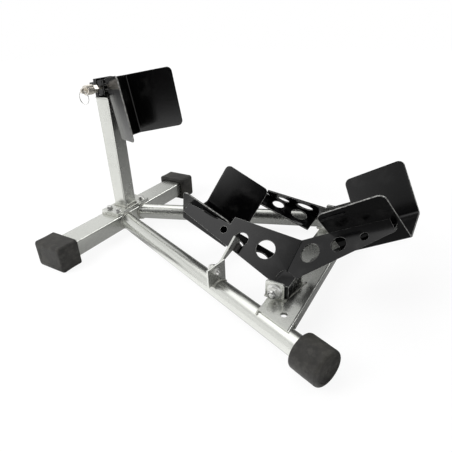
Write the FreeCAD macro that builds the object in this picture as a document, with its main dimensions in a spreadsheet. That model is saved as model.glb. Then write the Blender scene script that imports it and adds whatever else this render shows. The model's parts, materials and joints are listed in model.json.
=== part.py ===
import FreeCAD, Part
import math
import os

import Sketcher

os.makedirs("parts", exist_ok=True)
doc = FreeCAD.newDocument("wheel_stand")

# Driving sizes in millimetres and degrees, with what each one is.
# x runs to the rear, y to the far side and z up from the floor.
SIZES = [
    ("bar_x", -333.1, "crossbar centre line along the stand"),
    ("bar_width", 60.0, "crossbar tube, front to rear"),
    ("bar_height", 40.0, "crossbar tube, height"),
    ("bar_wall", 2.5, "crossbar wall"),
    ("stand_half", 256.0, "centre line to the outer end of a bar cap"),
    ("cap_width", 86.0, "bar cap, front to rear"),
    ("cap_height", 64.0, "bar cap, height"),
    ("cap_depth", 52.0, "bar cap, along the bar"),
    ("cap_floor", 6.0, "rubber behind the end of the bar"),
    ("cap_round", 7.0, "rounding of the cap's long edges"),
    ("flange_length", 118.0, "post flanges, across the stand"),
    ("flange_width", 59.0, "post flanges, front to rear"),
    ("flange_thick", 5.0, "each post flange"),
    ("post_side", 40.0, "square post"),
    ("post_wall", 2.5, "post wall"),
    ("post_height", 344.0, "top of the post above the floor"),
    ("post_lid", 4.0, "plate that closes the post"),
    ("flange_bolt_x", 16.0, "flange bolts, from the bar centre line"),
    ("flange_bolt_y", 44.0, "flange bolts, from the stand centre line"),
    ("flange_bolt_r", 4.0, "flange bolt shank radius"),
    ("bolt_head_r", 7.5, "flange bolt head across corners, radius"),
    ("bolt_head_h", 5.3, "flange bolt head height"),
    ("washer_r", 9.0, "flange bolt washer radius"),
    ("washer_h", 1.6, "flange bolt washer thickness"),
    ("leg_r", 20.0, "round leg tube radius"),
    ("leg_wall", 2.5, "round leg tube wall"),
    ("leg_angle", 20.6, "leg, turned outward from the stand's length"),
    ("leg_start_y", 32.2, "leg centre line where it meets the crossbar"),
    ("leg_length", 661.0, "leg with its foot, from the crossbar"),
    ("foot_r", 32.0, "round foot radius"),
    ("foot_length", 54.0, "round foot length"),
    ("foot_floor", 7.0, "rubber behind the end of the leg"),
    ("plate_x", 12.0, "cross plate front edge before the pivot"),
    ("plate_width", 67.0, "cross plate, front to rear"),
    ("plate_thick", 5.0, "cross plate thickness"),
    ("plate_sink", 1.5, "depth that the cross plate is notched over the legs"),
    ("plate_end", 5.0, "cross plate beyond the crest of the leg"),
    ("plate_lip", 18.0, "height of the plate's turned down rear lip"),
    ("floor_hole_x", 32.0, "floor bolt hole behind the pivot"),
    ("floor_hole_inset", 25.4, "floor bolt hole inside the end of the cross plate"),
    ("floor_hole_r", 6.0, "floor bolt hole radius"),
    ("pivot_back", 78.2, "cradle pivot before the mouth of the round feet"),
    ("pivot_z", 71.0, "cradle pivot above the floor"),
    ("pivot_pin_r", 6.0, "pivot bolt radius"),
    ("pivot_gap", 0.05, "running clearance of the pivot, radial"),
    ("ear_hole_gap", 0.3, "bolt clearance in the ears, radial"),
    ("ear_outer_y", 176.0, "outer face of the outer ear"),
    ("ear_inner_y", 110.0, "inner face of the inner ear"),
    ("ear_thick", 5.0, "ear thickness"),
    ("ear_width", 36.0, "ear, front to rear"),
    ("ear_top", 18.0, "top of the ear above the pivot"),
    ("ear_corner", 2.5, "chamfer of the outer ear's top corners"),
    ("inner_ear_corner", 9.0, "chamfer of the inner ear's top corners"),
    ("inner_ear_rear", 27.0, "inner ear's rear edge, from the pivot"),
    ("boss_r", 13.5, "cradle pivot tube radius"),
    ("boss_tail", 24.0, "square tail of the pivot tube, behind the pivot"),
    ("boss_side_gap", 0.5, "pivot tube to ear, each side"),
    ("pivot_nut_r", 10.4, "pivot nut across corners, radius"),
    ("pivot_nut_h", 12.0, "pivot nut height without its flange"),
    ("nut_flange_r", 13.5, "pivot nut flange radius"),
    ("nut_flange_h", 2.5, "pivot nut flange height"),
    ("pivot_head_h", 7.5, "pivot bolt head height"),
    ("pivot_bolt_out", 0.8, "pivot bolt beyond the nut"),
    ("sheet", 3.0, "sheet of the cradle arms"),
    ("low_x", -3.0, "arm fold under the pivot, from the pivot"),
    ("low_y", 151.0, "arm fold at the pivot, from the stand centre line"),
    ("low_z", 61.5, "arm fold at the pivot above the floor"),
    ("high_x", 10.4, "upper edge over the pivot, from the pivot"),
    ("high_y", 78.0, "upper edge over the pivot, from the stand centre line"),
    ("high_z", 127.0, "upper edge over the pivot above the floor"),
    ("front_x", -248.0, "fold at the front end, from the pivot"),
    ("front_y", 98.0, "fold at the front end, from the stand centre line"),
    ("front_z", 140.5, "fold at the front end above the floor"),
    ("rear_x", 167.0, "fold at the rear end, from the pivot"),
    ("rear_y", 94.0, "fold at the rear end, from the stand centre line"),
    ("rear_z", 193.5, "fold at the rear end above the floor"),
    ("front_end_width", 26.0, "web width at the front end"),
    ("rear_end_width", 30.0, "web width at the rear end"),
    ("floor_edge_y", 69.0, "inner edge of the arm floors"),
    ("floor_drop", 3.5, "fall of the arm floor toward its inner edge"),
    ("front_floor_start", 27.0, "pivot corner to the front floor, along the fold"),
    ("rear_floor_start", 44.0, "pivot corner to the rear floor, along the fold"),
    ("hole_large_r", 18.8, "large arm hole radius"),
    ("hole_mid_r", 14.1, "middle arm hole radius"),
    ("hole_small_r", 7.4, "small arm hole radius"),
    ("front_hole_one", 66.0, "large front hole along the fold"),
    ("front_hole_two", 118.0, "middle front hole along the fold"),
    ("front_hole_three", 161.0, "small front hole along the fold"),
    ("front_rise_one", 41.5, "large front hole above the fold"),
    ("front_rise_two", 28.5, "middle front hole above the fold"),
    ("front_rise_three", 22.0, "small front hole above the fold"),
    ("rear_hole_one", 76.0, "large rear hole along the fold"),
    ("rear_hole_two", 130.0, "middle rear hole along the fold"),
    ("rear_hole_three", 175.0, "small rear hole along the fold"),
    ("rear_rise_one", 38.0, "large rear hole above the fold"),
    ("rear_rise_two", 26.5, "middle rear hole above the fold"),
    ("rear_rise_three", 17.5, "small rear hole above the fold"),
    ("floor_hole_one", 72.0, "large floor hole along the fold"),
    ("floor_hole_two", 126.0, "middle floor hole along the fold"),
    ("floor_rise_one", 31.0, "large floor hole from the fold"),
    ("floor_rise_two", 22.0, "middle floor hole from the fold"),
    ("saddle_half", 50.0, "half of a saddle's flat between its folds"),
    ("saddle_wing", 105.0, "saddle wing width"),
    ("saddle_flare", 22.5, "saddle wing, opened from the saddle's normal"),
    ("saddle_length", 121.0, "saddle length"),
    ("saddle_sheet", 3.0, "sheet of the saddles and the wheel stop"),
    ("wing_round", 12.0, "rounding of the wing corners"),
    ("front_saddle_x", -230.0, "front saddle centre, from the pivot"),
    ("front_saddle_z", 72.0, "front saddle centre above the floor"),
    ("front_saddle_tilt", -24.0, "front saddle, nose up"),
    ("rear_saddle_x", 136.5, "rear saddle centre, from the pivot"),
    ("rear_saddle_z", 137.5, "rear saddle centre above the floor"),
    ("rear_saddle_tilt", 30.5, "rear saddle, tail up"),
    ("stop_half", 31.0, "half of the wheel stop's flat between its folds"),
    ("stop_wing", 109.0, "wheel stop wing width"),
    ("stop_flare", 31.0, "wheel stop wing, opened from the stop's normal"),
    ("stop_length", 136.0, "wheel stop height along its folds"),
    ("stop_x", 49.0, "wheel stop centre, from the bar centre line"),
    ("stop_z", -22.0, "wheel stop centre, from the top of the post"),
    ("stop_tilt", 9.6, "wheel stop, top leaning forward"),
    ("head_half", 27.0, "half width of the head frame"),
    ("head_height", 41.0, "head frame height"),
    ("head_depth", 9.0, "head frame, front to rear"),
    ("head_wall", 3.5, "head frame wall"),
    ("slide_side", 18.0, "square slide bar"),
    ("slide_gap", 0.06, "running clearance of the slide bar, each side"),
    ("slide_front", 44.0, "slide bar, front end before the bar centre line"),
    ("guide_near", 13.0, "near face of the guide block from the centre line"),
    ("guide_front", 16.0, "guide block before the bar centre line"),
    ("guide_rear", 6.0, "guide block behind the bar centre line"),
    ("slide_back", 30.0, "travel of the wheel stop to the rear"),
    ("slide_forward", 20.0, "travel of the wheel stop to the front"),
    ("lock_r", 4.0, "lock pin radius"),
    ("lock_gap", 0.08, "lock pin to slot and barrel, radial"),
    ("lock_x", 4.0, "lock pin before the bar centre line"),
    ("slot_depth", 5.0, "depth of the slide bar's slot"),
    ("pin_end_gap", 0.2, "lock pin's end to the bottom of the slot"),
    ("slot_end_gap", 0.5, "slot end to lock pin at the travel limit"),
    ("barrel_r", 9.2, "lock pin barrel across corners, radius"),
    ("barrel_length", 11.0, "lock pin barrel outside the head frame"),
    ("knob_r", 11.0, "lock pin knob radius"),
    ("knob_start", 39.0, "knob from the stand centre line"),
    ("knob_end", 59.0, "outer end of the knob"),
    ("neck_r", 5.5, "neck of the lock pin radius"),
    ("neck_width", 5.0, "flattened neck, front to rear"),
    ("neck_end", 72.0, "outer end of the neck"),
    ("ring_r", 14.5, "pull ring, centre line radius"),
    ("ring_wire_r", 1.3, "pull ring wire radius"),
    ("ring_hole_r", 1.9, "hole for the pull ring radius"),
    ("ring_y", 66.0, "hole for the pull ring from the centre line"),
    ("bracket_along", 394.5, "strap bracket along the leg, from the crossbar"),
    ("bracket_thick", 4.5, "strap bracket thickness"),
    ("bracket_out", 26.0, "strap bracket outer edge from the leg's centre line"),
    ("bracket_in", 15.7, "strap bracket inner edge from the leg's centre line"),
    ("bracket_low", 47.0, "strap bracket lower edge above the floor"),
    ("bracket_high", 94.0, "strap bracket's inner upper corner above the floor"),
    ("bracket_fall", 9.0, "strap bracket's upper edge, fall to its outer corner"),
    ("strap_bolt_side", 7.5, "strap bolt outward from the leg's centre line"),
    ("strap_pivot_z", 78.5, "strap bolt above the floor"),
    ("strap_pin_r", 4.0, "strap bolt radius"),
    ("strap_bolt_out", 5.5, "strap bolt beyond its nut"),
    ("small_hex_r", 7.5, "strap bolt head and nut across corners, radius"),
    ("strap_head_h", 5.5, "strap bolt head height"),
    ("strap_nut_h", 6.5, "strap nut height"),
    ("strap_head_gap", 1.0, "strap bolt head to strap"),
    ("strap_rise", 48.5, "strap, raised from level"),
    ("strap_length", 74.7, "strap bolt to the strap's tip"),
    ("strap_width", 12.6, "strap width"),
    ("strap_drop", 6.8, "strap's upper edge below its bolt"),
    ("strap_neck", 6.0, "strap width at its neck"),
    ("neck_length", 26.0, "strap bolt to the end of the strap's neck"),
    ("strap_full", 48.0, "strap bolt to where the strap has its full width"),
    ("hook_length", 12.1, "hook at the strap's tip, along the strap"),
    ("hook_slant", 4.6, "hook point forward of the hook's start"),
    ("hook_drop", 9.6, "hook point below the strap's lower edge"),
    ("strap_thick", 5.0, "strap thickness"),
    ("strap_eye_r", 9.5, "strap eye radius"),
    ("strap_gap", 0.5, "strap to bracket"),
    ("pad_drop", 5.0, "rubber pad centre below the strap's lower edge"),
    ("pad_from", 49.5, "rubber pad start along the strap"),
    ("pad_length", 17.0, "rubber pad along the strap"),
    ("pad_width", 16.0, "rubber pad across the strap"),
    ("pad_height", 9.0, "rubber pad height"),
]

sheet = doc.addObject("Spreadsheet::Sheet", "sizes")
for row, (alias, number, what) in enumerate(SIZES, start=1):
    sheet.set("A%d" % row, what)
    sheet.set("B%d" % row, str(number))
    sheet.setAlias("B%d" % row, alias)
doc.recompute()


class Size:
    """A number together with the expression that gives it."""

    def __init__(self, value, text):
        self.value = value
        self.text = text

    def join(self, sign, other, value):
        return Size(value, "(%s %s %s)" % (self.text, sign, other.text))

    def __add__(self, other):
        other = size(other)
        return self.join("+", other, self.value + other.value)

    def __radd__(self, other):
        return size(other) + self

    def __sub__(self, other):
        other = size(other)
        return self.join("-", other, self.value - other.value)

    def __rsub__(self, other):
        return size(other) - self

    def __mul__(self, other):
        other = size(other)
        return self.join("*", other, self.value * other.value)

    def __rmul__(self, other):
        return size(other) * self

    def __truediv__(self, other):
        other = size(other)
        return self.join("/", other, self.value / other.value)

    def __neg__(self):
        return size(0) - self


def size(number):
    if isinstance(number, Size):
        return number
    return Size(float(number), repr(float(number)))


def sine(angle):
    return Size(math.sin(math.radians(angle.value)), "sin(%s)" % angle.text)


def cosine(angle):
    return Size(math.cos(math.radians(angle.value)), "cos(%s)" % angle.text)


class Named:
    """The sheet's sizes by name."""

    def __getattr__(self, alias):
        return known[alias]


known = {alias: Size(number, "sizes." + alias) for alias, number, what in SIZES}
d = Named()

# Helpers that make one object each and tie its sizes to the sheet.
EACH_AXIS = {
    "x": FreeCAD.Rotation(FreeCAD.Vector(0, 0, 1), FreeCAD.Vector(1, 0, 0)),
    "y": FreeCAD.Rotation(FreeCAD.Vector(0, 0, 1), FreeCAD.Vector(0, 1, 0)),
    "z": FreeCAD.Rotation(),
}


def tie(thing, name, amount):
    amount = size(amount)
    thing.setExpression(name, amount.text)


def place(thing, at, turn=None):
    at = [size(a) for a in at]
    spot = FreeCAD.Vector(at[0].value, at[1].value, at[2].value)
    thing.Placement = FreeCAD.Placement(spot, turn or FreeCAD.Rotation())
    for axis, amount in zip("xyz", at):
        tie(thing, ".Placement.Base." + axis, amount)


def block(name, at, lengths, turn=None):
    thing = doc.addObject("Part::Box", name)
    for prop, amount in zip(("Length", "Width", "Height"), lengths):
        tie(thing, prop, amount)
    place(thing, at, turn)
    return thing


def rod(name, at, radius, length, axis="z", turn=None):
    thing = doc.addObject("Part::Cylinder", name)
    tie(thing, "Radius", radius)
    tie(thing, "Height", length)
    place(thing, at, turn or EACH_AXIS[axis])
    return thing


def hexagon(name, at, radius, length, axis="z", turn=None):
    thing = doc.addObject("Part::Prism", name)
    thing.Polygon = 6
    tie(thing, "Circumradius", radius)
    tie(thing, "Height", length)
    place(thing, at, turn or EACH_AXIS[axis])
    return thing


def cut(name, base, tool):
    thing = doc.addObject("Part::Cut", name)
    thing.Base = base
    thing.Tool = tool
    return thing


def fuse(name, pieces):
    thing = doc.addObject("Part::MultiFuse", name)
    thing.Shapes = pieces
    return thing


def gather(name, pieces):
    thing = doc.addObject("Part::Compound", name)
    thing.Links = pieces
    return thing


def mirrored(name, source):
    thing = doc.addObject("Part::Mirroring", name)
    thing.Source = source
    thing.Normal = FreeCAD.Vector(0, 1, 0)
    thing.Base = FreeCAD.Vector(0, 0, 0)
    return thing


def outline(name, corners, thick, turn, at, holes=(), back=False, middle=False):
    """A flat piece: a sketched outline with round holes, padded to its thickness."""
    body = doc.addObject("PartDesign::Body", name)
    sketch = body.newObject("Sketcher::SketchObject", name + "_sketch")
    plane = [o for o in body.Origin.OriginFeatures if o.Role == "XY_Plane"][0]
    sketch.AttachmentSupport = [(plane, "")]
    sketch.MapMode = "FlatFace"
    spots = [FreeCAD.Vector(size(x).value, size(y).value, 0) for x, y in corners]
    count = len(spots)
    for i in range(count):
        sketch.addGeometry(Part.LineSegment(spots[i], spots[(i + 1) % count]), False)
    for i in range(count):
        sketch.addConstraint(Sketcher.Constraint("Coincident", i, 2, (i + 1) % count, 1))
    pins = [(i, 1, corners[i]) for i in range(count)]
    for x, y, radius in holes:
        centre = FreeCAD.Vector(size(x).value, size(y).value, 0)
        circle = Part.Circle(centre, FreeCAD.Vector(0, 0, 1), size(radius).value)
        index = sketch.addGeometry(circle, False)
        ring = sketch.addConstraint(Sketcher.Constraint("Radius", index, size(radius).value))
        tie(sketch, "Constraints[%d]" % ring, radius)
        pins.append((index, 3, (x, y)))
    for index, end, (x, y) in pins:
        for kind, amount in (("DistanceX", size(x)), ("DistanceY", size(y))):
            made = sketch.addConstraint(
                Sketcher.Constraint(kind, -1, 1, index, end, amount.value))
            tie(sketch, "Constraints[%d]" % made, amount)
    pad = body.newObject("PartDesign::Pad", name + "_pad")
    pad.Profile = sketch
    pad.Reversed = back
    pad.Midplane = middle
    tie(pad, "Length", thick)
    place(body, at, turn)
    return body


def vec(x, y, z):
    return FreeCAD.Vector(size(x).value, size(y).value, size(z).value)


def frame_from(start, along, across):
    """The turn whose x runs from start to along, with across in its xy plane."""
    one = (along - start).normalize()
    three = one.cross(across - start).normalize()
    two = three.cross(one)
    return FreeCAD.Rotation(one, two, three, "ZXY")


def local(turn, start, point):
    there = turn.inverted().multVec(point - start)
    return there.x, there.y


def rounded(name, source, radius, wanted):
    """Rounds the source's edges that the test picks."""
    doc.recompute()
    thing = doc.addObject("Part::Fillet", name)
    thing.Base = source
    picked = [i for i, edge in enumerate(source.Shape.Edges, start=1) if wanted(edge)]
    if not picked:
        raise ValueError("no edge to round on " + name)
    amount = size(radius).value
    thing.Edges = [(i, amount, amount) for i in picked]
    return thing


bar_low = (d.cap_height - d.bar_height) / 2
bar_top = bar_low + d.bar_height
leg_z = d.cap_height / 2
bar_end = d.stand_half - d.cap_floor
foot_start = d.leg_length - d.foot_length
pivot_x = d.bar_x + d.bar_width / 2 + foot_start * cosine(d.leg_angle) - d.pivot_back
stop_z = d.post_height + d.stop_z
kept = {}

# Crossbar, a rectangular tube with its ends inside the rubber caps.
bar_skin = block("bar_skin", (d.bar_x - d.bar_width / 2, -bar_end, bar_low),
                 (d.bar_width, 2 * bar_end, d.bar_height))
bar_core = block(
    "bar_core",
    (d.bar_x - d.bar_width / 2 + d.bar_wall, -bar_end, bar_low + d.bar_wall),
    (d.bar_width - 2 * d.bar_wall, 2 * bar_end, d.bar_height - 2 * d.bar_wall))
bar_tube = cut("bar_tube", bar_skin, bar_core)

# Rubber caps on the ends of the crossbar.
cap_skin = block("cap_skin", (d.bar_x - d.cap_width / 2, -d.stand_half, 0),
                 (d.cap_width, d.cap_depth, d.cap_height))


def long_edge(edge):
    box = edge.BoundBox
    return box.YLength > 20 and box.XLength < 0.01 and box.ZLength < 0.01 and box.ZMin > 1


cap_soft = rounded("cap_soft", cap_skin, d.cap_round, long_edge)
cap_room = block("cap_room", (d.bar_x - d.bar_width / 2, -bar_end, bar_low),
                 (d.bar_width, d.cap_depth, d.bar_height))
kept["bar_cap_near"] = cut("bar_cap_near", cap_soft, cap_room)
kept["bar_cap_far"] = mirrored("bar_cap_far", kept["bar_cap_near"])

# Flanges that bolt the post to the crossbar.
flange_half = d.flange_length / 2
flange_front = d.bar_x - d.flange_width / 2
lower_z = bar_top
upper_z = bar_top + d.flange_thick
post_base = upper_z + d.flange_thick
bolt_spots = [(d.bar_x + sx * d.flange_bolt_x, sy * d.flange_bolt_y)
              for sx in (-1, 1) for sy in (-1, 1)]


def bolt_tools(name, low, length):
    return fuse(name, [
        rod(name + "_%d" % i, (x, y, low), d.flange_bolt_r, length)
        for i, (x, y) in enumerate(bolt_spots)])


lower_slab = block("lower_slab", (flange_front, -flange_half, lower_z),
                   (d.flange_width, d.flange_length, d.flange_thick))
upper_slab = block("upper_slab", (flange_front, -flange_half, upper_z),
                   (d.flange_width, d.flange_length, d.flange_thick))
kept["flange_lower"] = cut("flange_lower", lower_slab,
                           bolt_tools("lower_holes", lower_z, d.flange_thick))
kept["flange_upper"] = cut("flange_upper", upper_slab,
                           bolt_tools("upper_holes", upper_z, d.flange_thick))
kept["crossbar"] = cut("crossbar", bar_tube,
                       bolt_tools("bar_holes", bar_top - d.bar_wall, d.bar_wall))
bolts = []
for i, (x, y) in enumerate(bolt_spots):
    shank_low = bar_top - d.bar_wall
    bolts.append(fuse("flange_bolt_%d" % i, [
        rod("bolt_shank_%d" % i, (x, y, shank_low), d.flange_bolt_r,
            post_base + d.washer_h - shank_low),
        rod("bolt_washer_%d" % i, (x, y, post_base), d.washer_r, d.washer_h),
        hexagon("bolt_head_%d" % i, (x, y, post_base + d.washer_h),
                d.bolt_head_r, d.bolt_head_h)]))
kept["flange_bolts"] = gather("flange_bolts", bolts)

# Post, a square tube closed by a lid.
post_half = d.post_side / 2
post_core_half = post_half - d.post_wall
lid_low = d.post_height - d.post_lid
post_skin = block("post_skin", (d.bar_x - post_half, -post_half, post_base),
                  (d.post_side, d.post_side, lid_low - post_base))
post_core = block("post_core", (d.bar_x - post_core_half, -post_core_half, post_base),
                  (2 * post_core_half, 2 * post_core_half, lid_low - post_base))
kept["post"] = cut("post", post_skin, post_core)
kept["post_lid"] = block("post_lid", (d.bar_x - post_half, -post_half, lid_low),
                         (d.post_side, d.post_side, d.post_lid))

# Round legs with their rubber feet, near side first.
leg_turn = FreeCAD.Rotation(
    FreeCAD.Vector(0, 0, 1),
    vec(cosine(d.leg_angle), -sine(d.leg_angle), 0))
leg_root_x = d.bar_x + d.bar_width / 2
leg_tube_length = d.leg_length - d.foot_floor
behind = d.bar_width / 2


def along_leg(distance):
    x = leg_root_x + distance * cosine(d.leg_angle)
    y = -d.leg_start_y - distance * sine(d.leg_angle)
    return x, y, leg_z


leg_skin = rod("leg_skin", along_leg(-behind), d.leg_r, leg_tube_length + behind,
               turn=leg_turn)
leg_core = rod("leg_core", along_leg(-behind), d.leg_r - d.leg_wall,
               leg_tube_length + behind, turn=leg_turn)
leg_pipe = cut("leg_pipe", leg_skin, leg_core)
bar_side = block("bar_side", (d.bar_x - d.bar_width, -d.stand_half, 0),
                 (1.5 * d.bar_width, 2 * d.stand_half, d.cap_height))
kept["leg_near"] = cut("leg_near", leg_pipe, bar_side)
foot_skin = rod("foot_skin", along_leg(foot_start), d.foot_r, d.foot_length,
                turn=leg_turn)
foot_room = rod("foot_room", along_leg(foot_start), d.leg_r,
                d.foot_length - d.foot_floor, turn=leg_turn)
kept["foot_near"] = cut("foot_near", foot_skin, foot_room)
kept["leg_far"] = mirrored("leg_far", kept["leg_near"])
kept["foot_far"] = mirrored("foot_far", kept["foot_near"])

# Cross plate over both legs, with a turned down rear lip and two floor bolt holes.
plate_low = leg_z + d.leg_r - d.plate_sink
plate_top = plate_low + d.plate_thick
slope = sine(d.leg_angle) / cosine(d.leg_angle)
plate_front = pivot_x - d.plate_x
plate_rear = plate_front + d.plate_width
front_reach = d.leg_start_y + (plate_front - leg_root_x) * slope + d.plate_end
rear_reach = front_reach + d.plate_width * slope
floor_hole_reach = front_reach + (d.plate_x + d.floor_hole_x) * slope
floor_hole_y = floor_hole_reach - d.floor_hole_inset
plate_flat = outline(
    "plate_flat",
    [(plate_front, -front_reach), (plate_rear, -rear_reach),
     (plate_rear, rear_reach), (plate_front, front_reach)],
    d.plate_thick, None, (0, 0, plate_low),
    holes=[(pivot_x + d.floor_hole_x, -floor_hole_y, d.floor_hole_r),
           (pivot_x + d.floor_hole_x, floor_hole_y, d.floor_hole_r)])
lip_half = rear_reach - d.plate_end - 1.2 * d.leg_r
plate_lip = block("plate_lip", (plate_rear - d.plate_thick, -lip_half, plate_top - d.plate_lip),
                  (d.plate_thick, 2 * lip_half, d.plate_lip))
plate_blank = fuse("plate_blank", [plate_flat, plate_lip])


def lip_bend(edge):
    box = edge.BoundBox
    flat = box.XLength < 0.01 and box.ZLength < 0.01 and box.YLength > lip_half.value
    return flat and abs(box.XMax - plate_rear.value) < 0.01 and abs(box.ZMax - plate_top.value) < 0.01


leg_print_near = rod("leg_print_near", along_leg(-behind), d.leg_r,
                     leg_tube_length + behind, turn=leg_turn)
leg_print_far = mirrored("leg_print_far", leg_print_near)
leg_prints = fuse("leg_prints", [leg_print_near, leg_print_far])
plate_round = rounded("plate_round", plate_blank, d.plate_thick * 0.9, lip_bend)
kept["cross_plate"] = cut("cross_plate", plate_round, leg_prints)

# Pivot ears on the cross plate, two on each side.
ear_base = d.pivot_z - plate_top
upright = FreeCAD.Rotation(FreeCAD.Vector(1, 0, 0), FreeCAD.Vector(0, 0, 1),
                           FreeCAD.Vector(0, -1, 0), "ZXY")
ear_half = d.ear_width / 2


def ear(name, rear_face_y, rear, soft):
    corners = [(-ear_half, -ear_base), (rear, -ear_base),
               (rear, d.ear_top - soft), (rear - soft, d.ear_top),
               (soft - ear_half, d.ear_top), (-ear_half, d.ear_top - soft)]
    return outline(name, corners, d.ear_thick, upright, (pivot_x, rear_face_y, d.pivot_z),
                   holes=[(0, 0, d.pivot_pin_r + d.ear_hole_gap)])


kept["ear_near_outer"] = ear("ear_near_outer", -(d.ear_outer_y - d.ear_thick),
                             ear_half, d.ear_corner)
kept["ear_near_inner"] = ear("ear_near_inner", -d.ear_inner_y,
                             d.inner_ear_rear, d.inner_ear_corner)
kept["ear_far_outer"] = mirrored("ear_far_outer", kept["ear_near_outer"])
kept["ear_far_inner"] = mirrored("ear_far_inner", kept["ear_near_inner"])

# Pivot bolts with flange nuts.
head_face = -d.ear_inner_y
nut_face = -d.ear_outer_y
bolt_tip = nut_face - d.nut_flange_h - d.pivot_nut_h - d.pivot_bolt_out
kept["pivot_bolt_near"] = fuse("pivot_bolt_near", [
    rod("pivot_shank", (pivot_x, bolt_tip, d.pivot_z), d.pivot_pin_r,
        head_face - bolt_tip, "y"),
    hexagon("pivot_head", (pivot_x, head_face, d.pivot_z), d.pivot_nut_r,
            d.pivot_head_h, "y")])
nut_blank = fuse("nut_blank", [
    rod("nut_flange", (pivot_x, nut_face - d.nut_flange_h, d.pivot_z), d.nut_flange_r,
        d.nut_flange_h, "y"),
    hexagon("nut_hex", (pivot_x, nut_face - d.nut_flange_h - d.pivot_nut_h, d.pivot_z),
            d.pivot_nut_r, d.pivot_nut_h, "y")])
nut_bore = rod("nut_bore", (pivot_x, bolt_tip, d.pivot_z), d.pivot_pin_r,
               nut_face - bolt_tip, "y")
kept["pivot_nut_near"] = cut("pivot_nut_near", nut_blank, nut_bore)
kept["pivot_bolt_far"] = mirrored("pivot_bolt_far", kept["pivot_bolt_near"])
kept["pivot_nut_far"] = mirrored("pivot_nut_far", kept["pivot_nut_near"])

# Cradle pivot tubes between the ears, each with a square tail behind the bolt.
boss_low = -(d.ear_outer_y - d.ear_thick - d.boss_side_gap)
boss_length = d.ear_outer_y - d.ear_inner_y - 2 * d.ear_thick - 2 * d.boss_side_gap


def boss_shape(name):
    """The outside of a pivot tube with its tail."""
    return fuse(name, [
        rod(name + "_round", (pivot_x, boss_low, d.pivot_z), d.boss_r, boss_length, "y"),
        block(name + "_tail", (pivot_x, boss_low, d.pivot_z - d.boss_r),
              (d.boss_tail, boss_length, 2 * d.boss_r))])


boss_skin = boss_shape("boss_skin")
boss_bore = rod("boss_bore", (pivot_x, boss_low, d.pivot_z),
                d.pivot_pin_r + d.pivot_gap, boss_length, "y")
kept["pivot_tube_near"] = cut("pivot_tube_near", boss_skin, boss_bore)
kept["pivot_tube_far"] = mirrored("pivot_tube_far", kept["pivot_tube_near"])

# Saddles and wheel stop: a flat between two wings, bent from sheet.


def bent_plate(name, half, wing, flare, length, at, normal):
    sheet_t = d.saddle_sheet
    reach_x = wing * sine(flare)
    reach_y = wing * cosine(flare)
    fold = half + sheet_t * (1 - sine(flare)) / cosine(flare)
    tip_x = half + reach_x + sheet_t * cosine(flare)
    tip_y = reach_y - sheet_t * sine(flare)
    right = [(half, size(0)), (half + reach_x, reach_y), (tip_x, tip_y), (fold, -sheet_t)]
    corners = right + [(-x, y) for x, y in reversed(right)]
    across = FreeCAD.Vector(0, 1, 0)
    turn = FreeCAD.Rotation(across, normal, across.cross(normal), "ZXY")
    blank = outline(name + "_blank", corners, length, turn, at, middle=True)
    doc.recompute()
    back = blank.Placement.inverse()

    def tip_edge(edge):
        middle = back.multVec(edge.CenterOfMass)
        short = edge.Length < 1.5 * sheet_t.value
        at_tip = abs(middle.x) > half.value + 0.9 * reach_x.value
        at_end = abs(abs(middle.z) - length.value / 2) < 0.1
        return short and at_tip and at_end

    return rounded(name, blank, d.wing_round, tip_edge)


def trough(name, turn_from, half, flare, depth, length):
    """The room inside a bent plate's outer faces, to trim what is welded to it."""
    sheet_t = d.saddle_sheet
    fold = half + sheet_t * (1 - sine(flare)) / cosine(flare)
    top = fold + (depth + sheet_t) * sine(flare) / cosine(flare)
    corners = [(fold, -sheet_t), (top, depth), (-top, depth), (-fold, -sheet_t)]
    body = outline(name, corners, length, turn_from.Rotation,
                   (turn_from.Base.x, turn_from.Base.y, turn_from.Base.z), middle=True)
    return body


def facing(tilt):
    return vec(-sine(tilt), 0, cosine(tilt))


kept["front_saddle"] = bent_plate(
    "front_saddle", d.saddle_half, d.saddle_wing, d.saddle_flare, d.saddle_length,
    (pivot_x + d.front_saddle_x, 0, d.front_saddle_z), facing(d.front_saddle_tilt))
kept["rear_saddle"] = bent_plate(
    "rear_saddle", d.saddle_half, d.saddle_wing, d.saddle_flare, d.saddle_length,
    (pivot_x + d.rear_saddle_x, 0, d.rear_saddle_z), facing(d.rear_saddle_tilt))
stop_normal = vec(cosine(d.stop_tilt), 0, sine(d.stop_tilt))
kept["wheel_stop"] = bent_plate(
    "wheel_stop", d.stop_half, d.stop_wing, d.stop_flare, d.stop_length,
    (d.bar_x + d.stop_x, 0, stop_z), stop_normal)
front_trough = trough("front_trough", kept["front_saddle"].Base.Placement,
                      d.saddle_half, d.saddle_flare, 1.35 * d.saddle_wing, d.saddle_length)
rear_trough = trough("rear_trough", kept["rear_saddle"].Base.Placement,
                     d.saddle_half, d.saddle_flare, 1.35 * d.saddle_wing, d.saddle_length)

# Cradle arms on the near side: leaning webs and level floors with round holes.
low = vec(pivot_x + d.low_x, -d.low_y, d.low_z)
high = vec(pivot_x + d.high_x, -d.high_y, d.high_z)
front_end = vec(pivot_x + d.front_x, -d.front_y, d.front_z)
rear_end = vec(pivot_x + d.rear_x, -d.rear_y, d.rear_z)
inside = FreeCAD.Vector(0, 1, -1)


def web(name, end, end_width, holes):
    turn = frame_from(low, end, high)
    length = (end - low).Length
    top_x, top_y = local(turn, low, high)
    corners = [(0, 0), (length, 0), (length, end_width), (top_x, top_y)]
    if top_y < 0:
        raise ValueError("web turned over")
    outward = turn.multVec(FreeCAD.Vector(0, 0, 1)).dot(inside) < 0
    return outline(name, corners, d.sheet, turn, (low.x, low.y, low.z), holes, back=outward)


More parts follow.
